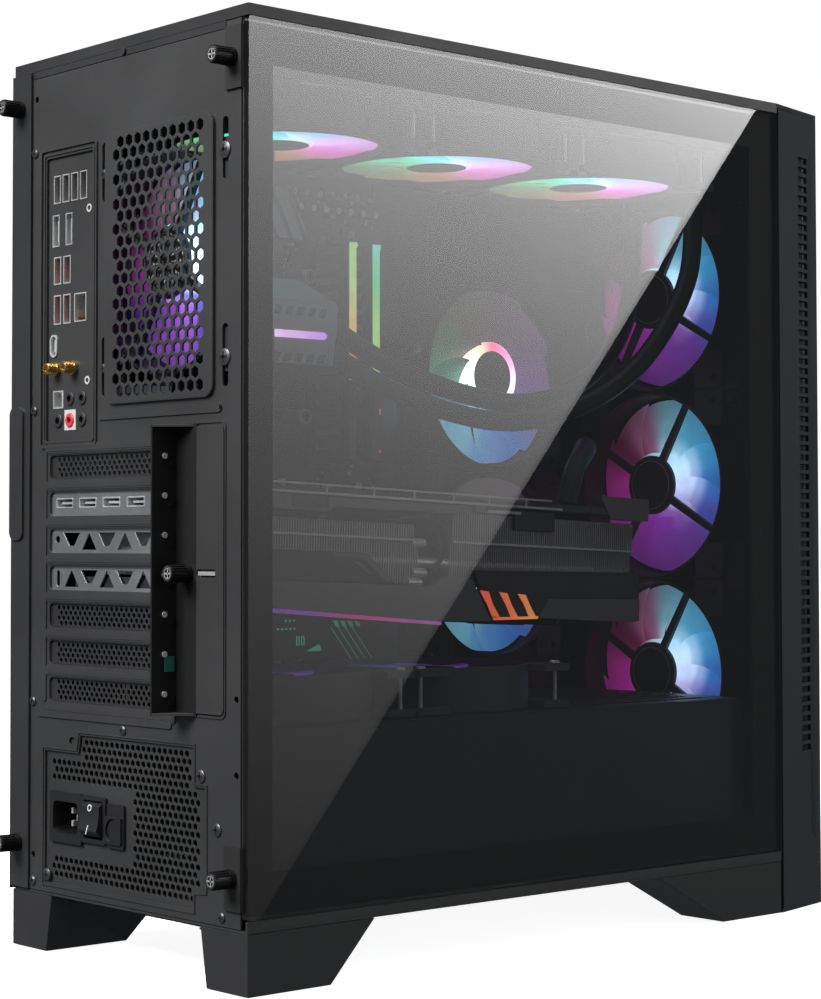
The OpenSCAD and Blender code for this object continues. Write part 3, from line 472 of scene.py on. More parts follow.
def braid():
    look = Look("cable_fabric", 0.6)
    wave = look.node("ShaderNodeTexWave", {"Vector": look.where, "Scale": 260.0, "Distortion": 1.5},
                     bands_direction="DIAGONAL").outputs["Fac"]
    weft = look.node("ShaderNodeTexVoronoi", {"Vector": look.where, "Scale": 620.0}).outputs["Distance"]
    both = look.math("MULTIPLY", wave, weft)
    look.to("Base Color", look.ramp(both, [(0.05, (0.006,) * 3), (0.5, (0.05,) * 3)]))
    look.to("Roughness", look.spread(both, 0.45, 0.7)).bump(both, 0.9, 0.0004)
    return look.material


FABRIC = braid()
add_cord("tube_inner", [(125, -166.3, 333), (119, -196, 318), (110, -228, 306.5), (98, -258, 299), (88, -282, 298),
                        (78, -306, 303.5), (69, -332, 314.5), (61, -357, 333.5), (54, -378, 361),
                        (48.5, -391, 392), (46.5, -393.5, 429), (46, -393.5, 447.8)], 6, RUBBER,
         ("coolant_tube_inner",))
add_cord("tube_outer", [(125, -166.3, 348.5), (122, -198, 333), (116, -233, 320.5), (110, -269, 312.5),
                        (106, -300, 310.5), (103, -332, 316.5), (101, -361, 332), (99, -381, 354),
                        (97.5, -391, 380), (97, -393.5, 420), (97, -393.5, 447.8)], 6, RUBBER,
         ("coolant_tube_outer",))
add_cord("card_cable_braid", [(52, -284, 248.4), (52, -291, 268), (66, -316, 281), (95, -345, 284),
                              (130, -378, 279), (160, -398, 273), (190, -400, 272)], 6, FABRIC,
         ("card_cable",))
add_cord("board_cable_braid", [(190, -260, 345), (172, -260, 345), (158, -258, 345), (150, -250, 345),
                               (152, -243, 345), (161.6, -241.5, 345)], 4.5, FABRIC,
         ("board_cable",))
add_cord("card_fan_cable", [(50, -132, 237), (48, -146, 238), (47.5, -160, 239.5), (47.5, -172, 236), (47.5, -180, 228),
                            (47.5, -179, 218), (48, -172, 209), (50, -168, 203)], 1.1, RUBBER)

# Rotors and fan frames


def rotor_mesh(name, blades, hub, tip, low, high, rise, looks, band):
    """Rotor standing along +Z from its motor side: a lit hub wall, dark caps and swept blades."""
    points, faces, slots = [], [], []

    def grid(rows, cols, at, slot=0, flip=False):
        first = len(points)
        points.extend(at(r / (rows - 1), c / (cols - 1)) for r in range(rows) for c in range(cols))
        for r in range(rows - 1):
            for c in range(cols - 1):
                k = first + r * cols + c
                face = (k, k + 1, k + cols + 1, k + cols)
                faces.append(tuple(reversed(face)) if flip else face)
                slots.append(slot)

    def wall(rings, slot, count=72):
        grid(len(rings), count + 1, lambda u, v: (rings[round(u * (len(rings) - 1))][0] * math.cos(math.tau * v),
                                                  rings[round(u * (len(rings) - 1))][0] * math.sin(math.tau * v),
                                                  rings[round(u * (len(rings) - 1))][1]), slot)

    wall([(hub - band, low), (hub, low), (hub, high - 1.2), (hub - 1.2, high), (hub - band, high)], 1)
    wall([(0.01, low + 0.3), (hub - band, low + 0.3), (hub - band, low)], 2)
    wall([(hub - band, high), (hub - band - 0.8, high - 0.5), (0.01, high - 0.5)], 2)
    step = math.tau / blades
    for b in range(blades):

        def at(u, v, lift, b=b):
            radius = hub - 0.4 + u * (tip - hub + 0.4)
            turn = b * step + 0.5 * u ** 1.3 + (v - 0.5) * step * 1.3
            level = high - 0.7 - v * rise * (1.0 - 0.25 * u)
            return radius * math.cos(turn), radius * math.sin(turn), level + lift

        grid(12, 9, lambda u, v: at(u, v, 0.5))
        grid(12, 9, lambda u, v: at(u, v, -0.5), 0, True)
        grid(2, 12, lambda q, u: at(u, 0, 0.5 - q), 0, True)
        grid(2, 12, lambda q, u: at(u, 1, 0.5 - q))
        grid(2, 9, lambda q, v: at(1, v, 0.5 - q))
    mesh = bpy.data.meshes.new(name)
    mesh.from_pydata([(x / 1000, y / 1000, z / 1000) for x, y, z in points], [], faces)
    for look in looks:
        mesh.materials.append(look)
    for face, k in zip(mesh.polygons, slots):
        face.material_index = k
    mesh.validate()
    mesh.shade_smooth()
    mesh.set_sharp_from_angle(angle=math.radians(40))
    return mesh


def add_rotor(node, frame_at, blade_look, hub_look, hub=20.8, tip=55.4, low=4.2, high=22.2, rise=8.0, blades=9, band=3.4):
    looks = (blade_look, hub_look, PLASTIC)
    mesh = rotor_mesh(node + "_blades", blades, hub, tip, low, high, rise, looks, band)
    made = bpy.data.objects.new(node + "_blades", mesh)
    made.matrix_world = Matrix.Translation(P(*frame_at.translation)) @ frame_at.to_3x3().to_4x4()
    bpy.context.collection.objects.link(made)
    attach(made, node)
    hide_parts(node)
    return made


def add_fan_frame(name, node, frame_at, struts, edge_screws=False, look=None):
    """Frame with cut-back flanges, a round body, a motor plate on struts and its screws."""
    s = Shape(frame_at)
    outline = []
    for q in range(4):
        c, n = round(math.cos(q * math.pi / 2)), round(math.sin(q * math.pi / 2))
        corner = [(59.6, 37), (59.6, 56), (58.4, 58.4), (56, 59.6), (37, 59.6)]
        lower = math.atan2(46.6, 37)
        corner += ring(0, 0, 59.5, 9, lower, math.pi - 2 * lower)
        outline += [(x * c - y * n, x * n + y * c) for x, y in corner]
    screws = [(x, y) for x in (-52.5, 52.5) for y in (-52.5, 52.5)]
    holes = [ring(0, 0, 57.5, 96)] + [ring(x, y, 2.2, 16) for x, y in screws]
    for low in (0.1, 20.9):
        s.plate(outline, holes, 2, low, low + 4)
    s.turned((0, 0), 2, [(57.5, 3.9), (59.3, 3.9), (59.3, 21), (57.5, 21), (57.5, 3.9)], 96)
    s.turned((0, 0), 2, [(0, 0.1), (18.4, 0.1), (18.9, 0.6), (18.9, 3.2), (0, 3.2)], 60)
    s.turned((0, 0), 2, [(15.2, -0.05), (15.8, -0.05), (15.8, 0.3), (15.2, 0.3), (15.2, -0.05)], 60, 1)
    for turn in struts:
        a = math.radians(turn)
        u, w = Vector((math.cos(a), math.sin(a))), Vector((-math.sin(a), math.cos(a)))
        s.plate([tuple(u * r + w * x) for r, x in ((17, -2.6), (57.9, -1.9), (57.9, 1.9), (17, 2.6))], [], 2, 0.2, 3.1)
    if edge_screws:
        for x, y in screws:
            s.turned((x, y), 2, [(1.3, -1.5), (1.3, 26.5)], 12, 2)
            s.turned((x, y), 2, [(2.6, 24.95), (3.2, 25.2), (2.6, 26.6)], 20, 2)
    return s.make(name, [look or PLASTIC, GREY, SHELL], "chassis", (node,), 0.3)


DARK = (0.03, 0.0, 0.03)
# Colours run from the side opposite to the frame's X, through its -Y
FRONT = lit_rotor("front_glow", [(0.62, 0.03, 0.42), (0.34, 0.02, 0.16), (0.60, 0.20, 0.42), (0.30, 0.70, 0.92),
                                 (0.12, 0.62, 1.0), (0.08, 0.50, 1.0), (0.06, 0.30, 0.95), (0.14, 0.16, 0.85),
                                 (0.30, 0.08, 0.66), (0.36, 0.06, 0.66), (0.40, 0.04, 0.60), (0.55, 0.03, 0.50)],
                  [0.7, 0.35, 0.55, 0.9, 1.1, 1.2, 1.1, 0.9, 0.8, 0.75, 0.7, 0.75],
                  [0, 0, 0.05, 0.35, 0.55, 0.8, 0.9, 0.7, 0.1, 0, 0, 0], 1.25, fade=(1.0, 0.8, 0.62, 0.45))
REAR = lit_rotor("rear_glow", [(0.30, 0.04, 0.28), (0.20, 0.02, 0.14), (0.34, 0.18, 0.30), (0.30, 0.42, 0.62),
                               (0.14, 0.58, 0.85), (0.12, 0.60, 0.95), (0.30, 0.75, 1.0), (0.25, 0.45, 1.0),
                               (0.10, 0.07, 0.75), (0.36, 0.10, 0.75), (0.30, 0.07, 0.60), (0.14, 0.04, 0.36)],
                 [0.6, 0.4, 0.5, 0.9, 1.1, 1.1, 1.2, 1.1, 0.7, 0.8, 0.7, 0.5],
                 [0, 0, 0, 0.2, 0.4, 0.7, 1.4, 1.2, 0.2, 0.1, 0, 0], 1.3, fade=(1.0, 0.85, 0.7, 0.45))
TOP = lit_rotor("top_glow", [(0.85, 0.12, 0.70), (0.80, 0.40, 1.0), (0.35, 0.58, 1.0), (0.10, 0.78, 0.85),
                             (0.06, 0.85, 0.45), (0.30, 0.70, 0.35), (0.62, 0.60, 0.30), (0.85, 0.40, 0.25)],
                [1.0, 1.2, 1.2, 1.1, 0.9, 0.4, 0.35, 0.5], [0.1, 0.2, 0.35, 0.15, 0.05, 0.1, 0.15, 0.1], 1.7,
                fade=(0.9, 0.9, 0.8, 0.6))
SIDE = lit_rotor("side_glow", [(0.26, 0.10, 0.42), (0.22, 0.09, 0.30), (0.18, 0.10, 0.20), (0.16, 0.12, 0.14),
                               (0.16, 0.15, 0.12), (0.08, 0.24, 0.14), (0.05, 0.35, 0.24), (0.20, 0.70, 0.85),
                               (0.28, 0.75, 1.0), (0.12, 0.42, 0.95), (0.08, 0.28, 0.90), (0.30, 0.16, 0.60)],
                 [0.8, 0.7, 0.6, 0.6, 0.6, 0.6, 0.7, 1.0, 1.1, 1.1, 1.0, 0.9], [0] * 12, 0.95,
                 fade=(1.0, 0.8, 0.75, 0.7))
RING = lit_rotor("ring_glow", [(1.0, 0.45, 0.85), (1.0, 0.30, 0.62), (1.0, 0.14, 0.42), (1.0, 0.16, 0.34),
                               (1.0, 0.40, 0.20), (1.0, 0.78, 0.35), (0.40, 0.95, 0.70), (0.20, 0.90, 0.75),
                               (0.30, 0.80, 0.95), (0.45, 0.60, 1.0), (0.70, 0.50, 1.0), (0.95, 0.60, 1.0)],
                 [1.0, 1.0, 1.0, 0.9, 1.0, 1.3, 1.4, 1.2, 1.0, 1.0, 1.0, 1.0],
                 [0.4, 0.1, 0.1, 0, 0.3, 0.6, 0.7, 0.3, 0.2, 0.3, 0.3, 0.4], 2.6, fade=(1, 1, 1, 1))
LOW = lit_rotor("low_glow", [(0.30, 0.08, 0.70), (0.10, 0.10, 0.60), (0.06, 0.30, 0.70), (0.20, 0.08, 0.60)],
                [1, 0.8, 0.8, 1], [0, 0, 0, 0], 0.7)

STRUTS = (30, 120, 210, 300)
at = axes((70.8, -1.5, 370.7), (0, -1, 0), (-1, 0, 0))
add_fan_frame("rear_fan_shell", "rear_fan_frame", at, STRUTS)
add_rotor("rear_fan_rotor", at, REAR, REAR)
ribs = Shape(at)
for k in range(12):
    u = Vector((math.cos(k * math.pi / 6), math.sin(k * math.pi / 6)))
    w = Vector((-u.y, u.x))
    ribs.plate([tuple(u * r + w * x) for r, x in ((6, -0.4), (14, -0.7), (14, 0.7), (6, 0.4))], [], 2, -0.25, 0.2)
ribs.make("rear_fan_ribs", [FIN], "chassis")
for i, z in enumerate((142, 262, 382)):
    at = axes((103, -416, z), (0, -1, 0), (-1, 0, 0))
    add_fan_frame(f"front_fan_shell_{i + 1}", "case_fan_frames", at, STRUTS)
    add_rotor(f"front_rotor_{i + 1}", at, FRONT, FRONT)
# The top fan frames here and the low fan frames below take the lighter frame plastic, which is painted light
for i, y in enumerate((-85, -205, -325)):
    at = axes((80, y, 465), (0, 0, -1), (0, 1, 0))
    add_fan_frame(f"top_fan_shell_{i + 1}", "case_fan_frames", at, STRUTS, True, PAINTED_LIGHT_FRAME)
    add_rotor(f"top_rotor_{i + 1}", at, TOP, TOP, rise=2.2, high=22.4)
for i, z in enumerate((211, 331)):
    at = axes((181.5, -329, z), (-1, 0, 0), (0, 1, 0))
    add_fan_frame(f"side_fan_shell_{i + 1}", "case_fan_frames", at, STRUTS)
    add_rotor(f"side_rotor_{i + 1}", at, SIDE, RING, hub=22.4, rise=11.0, band=6.0)
for i, y in enumerate((-75, -195)):
    at = axes((80, y, 131), (0, 0, 1), (0, 1, 0))
    add_fan_frame(f"low_fan_shell_{i + 1}", "case_fan_frames", at, STRUTS, True, PAINTED_LIGHT_FRAME)
    add_rotor(f"low_rotor_{i + 1}", at, LOW, LOW)

# Rear panel

SLOTS = [SLOT_TOP - k * SLOT_PITCH for k in range(7)]
GRILLE = ((27.6, 299.8), (119.4, 443.2))
PSU_CUT = [(34.3, 49), (34.3, 100.4), (44.3, 100.4), (44.3, 120.4), (144.3, 120.4), (146.3, 110.4), (178.3, 110.4),
           (178.3, 38.4), (44.3, 38.4), (44.3, 48.4)]
s = Shape()
outline = [(5.6, 32.8), (206, 32.8), (206, 488.4), (192.2, 488.4), (192.2, 484.6), (17.6, 484.6), (17.6, 488.4),
           (5.6, 488.4)]
holes = [rounded(*GRILLE, 6), rounded((134.4, 280.6), (178.8, 438), 1), PSU_CUT]
holes += [rounded((59.2, z - 6.5), (174.5, z + 6.5), 2.5, 4) for z in SLOTS]
holes += [rounded((x - 2.4, z - 15), (x + 2.4, z + 17), 2.3) for x in (18.3, 123.3) for z in (318.2, 423.2)]
holes += [ring(x, z, 1.8, 20) for x, z in ((188.9, 473), (9, 146.3), (9, 108.6), (189.5, 52))]
holes += [ring(x, z, 2.2, 20) for x in (11.5, 203) for z in (57.5, 469)] + [ring(47.5, 209, 2.2, 20)]
holes += [rounded((149, 114.6), (155, 118.9), 2.1)]
s.plate(outline, holes, 1, -1.2, 0)
comb = honeycomb((28.4, 300.6), (118.8, 442.8), 7.7, 3.35)
s.plate(rounded((27, 299.2), (120, 443.8), 6.5), comb, 1, 0.8, 2)
s.plate(rounded((26.4, 298.6), (120.6, 444.4), 7), [rounded((27.2, 299.4), (119.8, 443.6), 6.4)], 1, 0, 1.9)
for a, b, r in (((20.7, 290.5), (128, 295.5), 2.4), ((62, 128.6), (185, 132.6), 1.9)):
    s.plate(rounded(a, b, r), [], 1, 0, 0.9)
for inset in (0, 2.6):
    s.plate(rounded((129.5 + inset, 276.8 + inset), (183.5 - inset, 443.2 - inset), 2.5),
            [rounded((130.7 + inset, 278 + inset), (182.3 - inset, 442 - inset), 1.8)], 1, 0, 1.2 - 0.2 * inset)
edges = [SLOTS[0] + 10.16] + [z - 10.16 for z in SLOTS]
for z in edges:
    for rise, half in ((0.45, 3.1), (0.85, 2.3), (1.1, 1.3)):
        s.plate(rounded((58.4, z - half), (178, z + half), half * 0.9, 4), [], 1, 0, rise)
s.plate(rounded((177, 137), (181, 275), 1.8), [], 1, 0, 0.7)
s.plate(rounded((17.2, 136), (59, 286.5), 4), [rounded((18.4, 137.2), (57.8, 285.3), 3)], 1, 0, 0.7)
lip = [(32.2, 47.2), (32.2, 102.5), (42.2, 102.5), (42.2, 122.5), (146, 122.5), (148, 112.5), (180.4, 112.5),
       (180.4, 36.3), (42.2, 36.3), (42.2, 46.3)]
s.plate(lip, [[(x + (0.9 if x < 100 else -0.9), z + (0.9 if z < 80 else -0.9)) for x, z in lip]], 1, 0, 0.6)
s.make("rear_sheet", [POWDER], "chassis", ("rear_panel",), 0.25)

heads = Shape()
for x, z, r in ((189.8, 442.6, 2.6), (189.8, 298.2, 2.6), (189.8, 136.6, 2.6), (104.8, 125.4, 2.6),
                (189.3, 37.6, 2.6), (20.2, 37.2, 2.6), (18.3, 318.2, 4.4), (18.3, 423.2, 4.4),
                (123.3, 318.2, 2.6), (123.3, 423.2, 2.6), (37.3, 106.4, 3.4), (175.3, 42.4, 3.4), (24, 80.5, 3.4)):
    heads.turned((x, z), 1, [(r, 0.05), (r, 0.7), (r * 0.75, 1.3), (0, 1.45)], 28)
    for a, b in ((0.62, 0.17), (0.17, 0.62)):
        heads.box((x - r * a, 0.6, z - r * b), (x + r * a, 1.5, z + r * b), 1)
heads.make("rear_screws", [SCREW_HEAD, SOCKET], "chassis", ("case_screws",))

# Rear sockets
io = Shape()
windows = [((141.7 + k * 8.4, 412.4), (148.5 + k * 8.4, 428.2), SOCKET) for k in range(4)]
windows += [((155.6, 388.4), (162.2, 406.4), SOCKET), ((168.0, 388.4), (174.8, 406.4), SOCKET)]
windows += [((x - 0.3, z - 0.3), (x + 6.8, z + h + 0.3), RED) for x in (157.4, 166.6) for z, h in ((367.6, 15), (345.4, 16))]
windows += [((142, 345.4), (153.6, 361.4), SOCKET), ((163.6, 298.6), (173.6, 308.6), SOCKET)]
holes = [rect(a, b) for a, b, _ in windows] + [rounded((170.2, 328), (175.4, 339), 2.5)]
jacks = [(157.4, 303.6), (145.8, 303.6), (168.6, 291.8), (157.4, 291.8), (145.8, 291.8)]
holes += [ring(x, z, 2.6, 24) for x, z in jacks]
io.plate(rounded((132.4, 278.8), (180.8, 440.8), 1.5), holes, 1, -2.6, -1.5)
io.box((136, -20, 284), (175, -14, 435), 1)
for (a, b, tone) in windows:
    kind = 4 if tone is RED else 3
    io.plate(rect((a[0] + 0.1, a[1] + 0.1), (b[0] - 0.1, b[1] - 0.1)),
             [rect((a[0] + 0.75, a[1] + 0.75), (b[0] - 0.75, b[1] - 0.75))], 1, -14, -1.2, 2)
    narrow = b[0] - a[0] < 8
    if narrow and b[1] - a[1] < 17:
        io.box((a[0] + 1.0, -13.8, a[1] + 1.6), (a[0] + 2.7, -2.6, b[1] - 1.6), kind)
        for k in range(4):
            z = a[1] + 3.2 + k * (b[1] - a[1] - 6.4) / 3
            io.box((a[0] + 2.7, -9, z - 0.5), (a[0] + 3.0, -2.8, z + 0.5), 5)
    elif narrow:
        io.box(((a[0] + b[0]) / 2 - 0.7, -13, a[1] + 3), ((a[0] + b[0]) / 2 + 0.7, -3, b[1] - 3), 2)
for x in (163.9, 164.9):
    io.box((x, -6, 299.2), (x + 0.5, -1.4, 308), 6)
for k in range(8):
    io.box((143.4 + k * 1.2, -10, 345.9), (143.8 + k * 1.2, -3, 348.2), 5)
io.plate(rounded((169.4, 327.2), (176.2, 339.8), 3.3), [rounded((170.4, 328.2), (175.2, 338.8), 2.3)], 1, -12, -0.6, 2)
io.plate(rounded((171.9, 330), (173.7, 337), 0.8), [], 1, -10, -2, 2)
for x, z in jacks:
    red = (x, z) == (157.4, 291.8)
    io.turned((x, z), 1, [(3.9, -1.6), (3.9, -0.9), (3.4, -0.5), (1.9, -0.5), (1.9, -12), (3.9, -12), (3.9, -1.6)], 28,
              7 if red else 3)
io.plate(rect((151.8, 286.4), (162.6, 297.6)), [ring(157.4, 291.8, 4.0, 28)], 1, -1.5, -1.3, 6)
for x, z in ((139.7, 407), (141, 313)):
    io.turned((x, z), 1, [(1.4, -1.5), (1.4, -1.2), (2.3, -1.2), (2.3, -1.5), (1.4, -1.5)], 24, 6)
for x in (170.2, 153.6):
    io.turned((x, 320.4), 1, [(3.9, -1.5), (3.9, 0.6), (3.1, 0.8), (3.1, 6.1), (2.5, 6.35), (1.6, 6.35), (1.6, 1),
                              (0.5, 1), (0.5, 4)], 32, 5)
    for y in (1.6, 2.6, 3.6, 4.6):
        io.turned((x, 320.4), 1, [(3.3, y), (3.35, y + 0.25), (3.3, y + 0.5)], 32, 5)
WHITE = grained("print_white", (0.55, 0.55, 0.55), 0.5, grain=900.0)
ROSE = grained("jack_red", (0.62, 0.05, 0.07), 0.4, grain=900.0)
io.make("rear_sockets", [POWDER, SOCKET, SHELL, PLASTIC, RED, GOLD, WHITE, ROSE], "chassis", ("io_ports",),
        0.12)

# Slot bracket of the graphics card
s = Shape()
top, mid, low = SLOTS[1], SLOTS[2], SLOTS[3]
holes = [rounded((88 + k * 22, top - 2.2), (104 + k * 22, top + 3.4), 0.8) for k in range(4)]
for z, flip in ((mid, 1), (low, -1)):
    for k in range(6):
        x = 66 + k * 16.5
        if (k % 2 == 0) == (flip > 0):
            holes.append([(x, z - 4.6), (x + 13.5, z - 4.6), (x + 6.8, z + 4.6)])
        else:
            holes.append([(x - 1, z + 4.6), (x + 14.5, z + 4.6), (x + 9, z - 2.5), (x + 4.5, z - 2.5)])
holes += [ring(168.6, mid + 1, 2.0, 20), rounded((166.6, low - 4.4), (169.4, low + 4.4), 1.3)]
s.plate(rect((58.6, low - 9.6), (180, top + 9.6)), holes, 1, -2.3, -1.4)
for k in range(4):
    a, b = (88 + k * 22, top - 2.2), (104 + k * 22, top + 3.4)
    s.plate(rounded(a, b, 0.8), [rounded((a[0] + 0.7, a[1] + 0.7), (b[0] - 0.7, b[1] - 0.7), 0.5)], 1, -14, -1.2, 2)
    s.box((a[0] + 3, -13, a[1] + 2.2), (b[0] - 3, -3, a[1] + 3.4), 2)
s.box((88, -16, top - 2.8), (170, -14.1, top + 4), 1)
for z in (top, mid, low):
    s.box((59.4, -1.3, z - 6.2), (60.3, 10.5, z + 6.2), 0)
s.make("slot_bracket", [BRACKET, SOCKET, SHELL], "chassis", ("card_bracket",), 0.12)

# Slot clamp
s = Shape()
# Near-black painted shade, for the deep shade on the clamp wall's glass-side face, in the channel beside it and between
# the card's fins
SHADE_BLACK = grained("painted_shade_black", (0.0035, 0.0035, 0.004), 0.5, grain=900.0)
# The wall's glass-side face and the channel plate beside it take the painted shade
s.box((57, 0.3, 136.6), (58.2, 17, 285), 1)
s.plate(rect((40, 136.6), (57.1, 285)), [ring(47.5, 209, 2.3, 20)], 1, 0.3, 1.5, 1)
for z in (136.6, 283.8):
    s.hull([(t, y, h) for t, y in ((58.2, 0.3), (58.2, 17), (57, 17), (42, 1.5), (42, 0.3)) for h in (z, z + 1.2)])
s.plate(rounded((18, 138), (46.5, 284), 3), [rounded((24, 207), (40, 211), 1.8)], 1, 0.35, 1.4)
# Screw heads on the wall at each slot, each with a small mark beside it in the same painted-shade black
for z in SLOTS:
    s.turned((9, z + 3), 0, [(1.6, 56.2), (1.6, 57), (0, 57.05)], 20, 2)
    s.box((56.4, 3, z - 2.5), (56.95, 6.5, z + 1.5), 1)
# Green patch on the clamp wall beside the sixth slot
s.box((56.2, 3, SLOTS[5] - 6), (56.9, 9, SLOTS[5] + 2), 3)
GREEN_PATCH = grained("green_patch", (0.01, 0.09, 0.06), 0.4, grain=300.0)
s.make("clamp_bar", [POWDER, SHADE_BLACK, SHELL, GREEN_PATCH], "clamp", ("slot_clamp",), 0.2)
s = Shape()
s.turned((47.5, 209), 1, [(2.6, 1.5), (2.6, 1.9), (1.6, 2.0), (1.6, 0.4)], 24)
s.box((24, 1.42, 208), (38, 1.9, 210))
s.make("clamp_slot_insert", [SHELL], "clamp")

# Power supply
s = Shape()
s.box((31.3, -151.4, 36.4), (32.8, -2.9, 122.4))
s.box((179.8, -151.4, 36.4), (181.3, -2.9, 122.4))
s.box((32.8, -151.4, 120.9), (179.8, -2.9, 122.4))
s.box((32.8, -151.4, 37.9), (179.8, -149.9, 120.9))
holes = [rounded((106 - 56, -77 - 56), (106 + 56, -77 + 56), 55, 20)]
s.plate(rect((32.8, -149.9), (179.8, -2.9)), holes, 2, 36.4, 37.9)
for r in range(16, 56, 6):
    s.turned((106, -77), 2, [(r, 36.5), (r + 1.2, 36.5), (r + 1.2, 37.7), (r, 37.7), (r, 36.5)], 64)
for k in range(4):
    a = k * math.pi / 2
    u, w = Vector((math.cos(a), math.sin(a))), Vector((-math.sin(a), math.cos(a)))
    s.plate([tuple(Vector((106, -77)) + u * r + w * x) for r, x in ((16, -1.2), (56.5, -1.2), (56.5, 1.2), (16, 1.2))],
            [], 2, 36.5, 37.8)
s.box((60, -153.2, 50), (170, -151.4, 90))
holes = honeycomb((37, 41), (176, 119), 4.7, 1.85, lambda x, z: not (
    (x > 98 and 54.5 < z < 93.5) or (x < 47 and z > 99) or (x > 143 and z > 108) or (x < 46 and z < 50)))
holes += [rect((144, 62.4), (171.5, 87.6)), rect((122.6, 65.5), (140.6, 86.5)), ring(112.6, 72, 6.4, 32)]
s.plate(rect((31.3, 36.4), (181.3, 122.4)), holes, 1, -2.8, -1.4)
s.make("supply_case", [POWDER], "chassis", ("psu_case",), 0.12)
s = Shape()
for z in (78.5, 71.5):
    s.box((156.6, -15, z - 1.6), (158.4, -4, z + 1.6))
s.box((151.6, -15, 73.4), (153.4, -4, 76.6))
s.make("inlet_prongs", [SHELL], "chassis", (), 0.2)
s = Shape()
s.plate(rounded((120.4, 63.3), (142.8, 88.7), 1.5), [rect((122.8, 65.7), (140.4, 86.3))], 1, -1.5, 0.5)
s.plate(rounded((104, 62.4), (119.2, 86), 1.5), [ring(112.6, 72, 6.3, 32)], 1, -1.5, 0.3)
s.plate(rounded((105.2, 64.6), (120, 79.4), 1.2), [ring(112.6, 72, 6.3, 32)], 1, 0.3, 1.5)
s.make("supply_bezels", [SOCKET], "chassis", (), 0.25)

s = Shape(Matrix.Translation(Vector((131.6, -4, 76))) @ Matrix.Rotation(math.radians(8), 4, "X"))
s.turned((0, 5.6), 1, [(1.2, 7.3), (1.2, 7.75), (1.9, 7.75), (1.9, 7.3), (1.2, 7.3)], 28)
s.hull([(x, 7 + h * h / 66 + d, h) for x in (-0.35, 0.35) for h in (-8.4, -3.6) for d in (-0.1, 0.25)])
s.make("rocker_marks", [WHITE], "psu_rocker")
for name, x, y, z in (("clamp_thumbscrew", 47.5, 14.25, 209), ("glass_thumbscrew_upper", 11.5, 14.35, 469),
                      ("glass_thumbscrew_lower", 11.5, 14.35, 57.5), ("side_thumbscrew_upper", 203, 14.35, 469),
                      ("side_thumbscrew_lower", 203, 14.35, 57.5)):
    s = Shape()
    s.turned((x, z), 1, [(3.1, y - 0.2), (3.1, y + 0.25), (3.7, y + 0.25), (3.9, y - 0.2), (3.1, y - 0.2)], 32)
    for a, b in ((2.4, 0.45), (0.45, 2.4)):
        s.box((x - a, y - 0.9, z - b), (x + a, y - 0.2, z + b), 1)
    s.turned((x, z), 1, [(2.5, y - 0.2), (2.5, y + 0.1), (2.8, y + 0.1), (2.8, y - 0.2), (2.5, y - 0.2)], 32, 1)
    s.make(name + "_face", [SCREW_HEAD, SHELL], name, ())

# Slot covers
s = Shape()
for z in (SLOTS[0], SLOTS[4], SLOTS[5], SLOTS[6]):
    holes = [ring(66 + k * 4.5 + (j % 2) * 2.25, z - 4.2 + j * 2.8, 1.3, 12) for j in range(4) for k in range(23)]
    s.plate(rect((58.6, z - 9.6), (180, z + 9.6)), holes, 1, -2.3, -1.4)
    s.plate(rect((62, z - 6.4), (174.6, z + 6.4)), [rect((62.6, z - 5.9), (174, z + 5.9))], 1, -1.4, -1.0)
    s.box((59.4, -1.3, z - 6.2), (60.3, 10.5, z + 6.2))
s.make("slot_cover_sheets", [PANEL], "chassis", ("slot_covers",), 0.1)

# Front panel: cloth behind the side vents and the dark joint beside them
s = Shape()
for side in (0, 1):

    def wall(y, depth, side=side):
        t = (-417.8 - y) / 52.2 * 11 + depth
        return t if side == 0 else CASE_W - t

    s.hull([(wall(y, d), y, z) for y in (-441, -460) for d in (2.5, 3.1) for z in (90, 470)])
    s.hull([(wall(y, d), y, z) for d in (-0.1, 0.6) for y, z in ((-457.8, 466), (-463, 471), (-457.8, 45), (-463, 40))])
s.make("front_vent_cloth", [SOCKET], "fascia", ())

# Motherboard and what it carries
rng = random.Random(11)
s = Shape()
zones = [((-182, 386), (-168, 436)), ((-245, 378), (-190, 436)), ((-244, 256), (-190, 300)), ((-150, 276), (-60, 305)),
         ((-150, 384), (-90, 400)), ((-240, 232), (-160, 262)), ((-140, 140), (-60, 186))]
for (y0, z0), (y1, z1) in zones:
    for k in range(60):
        y, z = rng.uniform(y0, y1), rng.uniform(z0, z1)
        w, h = rng.choice(((1.0, 0.6), (0.6, 1.0), (1.8, 1.0), (1.0, 1.8), (3.2, 3.2), (5.5, 4.0)))
        tall = 0.5 + 0.3 * max(w, h)
        tone = rng.choice((0, 1, 2, 2)) if max(w, h) < 3 else rng.choice((0, 0, 1))
        s.box((174.7 - tall, y - w / 2, z - h / 2), (174.72, y + w / 2, z + h / 2), tone)
for k in range(14):
    y, z = -170 - 5.0 * k, 436 - (k % 2) * 9
    s.turned((y, z), 0, [(2.4, 166.5), (2.4, 174.7)], 20, 0)
    s.turned((y, z), 0, [(2.1, 166.3), (2.1, 166.5)], 20, 2)
for k in range(6):
    s.box((167, -248 + k, 250 + k * 8), (174.7, -242 + k, 256 + k * 8), 0)
s.make("board_chips", [SOCKET, GREY, FIN], "chassis", ())
TRACE = glow_strip("trace_glow", "Z", 280, 308, [(1.0, 0.05, 0.45), (0.35, 0.01, 0.12), (0.35, 0.01, 0.12), (1.0, 0.10, 0.35)], 1.6)
s = Shape()
for y in (-227.2, -245.2):
    s.box((174.45, y - 0.3, 283), (174.75, y + 0.3, 305))
    for z in (281.5, 306):
        s.box((174.3, y - 0.9, z - 2), (174.75, y + 0.9, z + 2))
s.box((174.4, -227.5, 280.2), (174.75, -219.5, 281))
s.make("board_traces", [TRACE], "chassis")

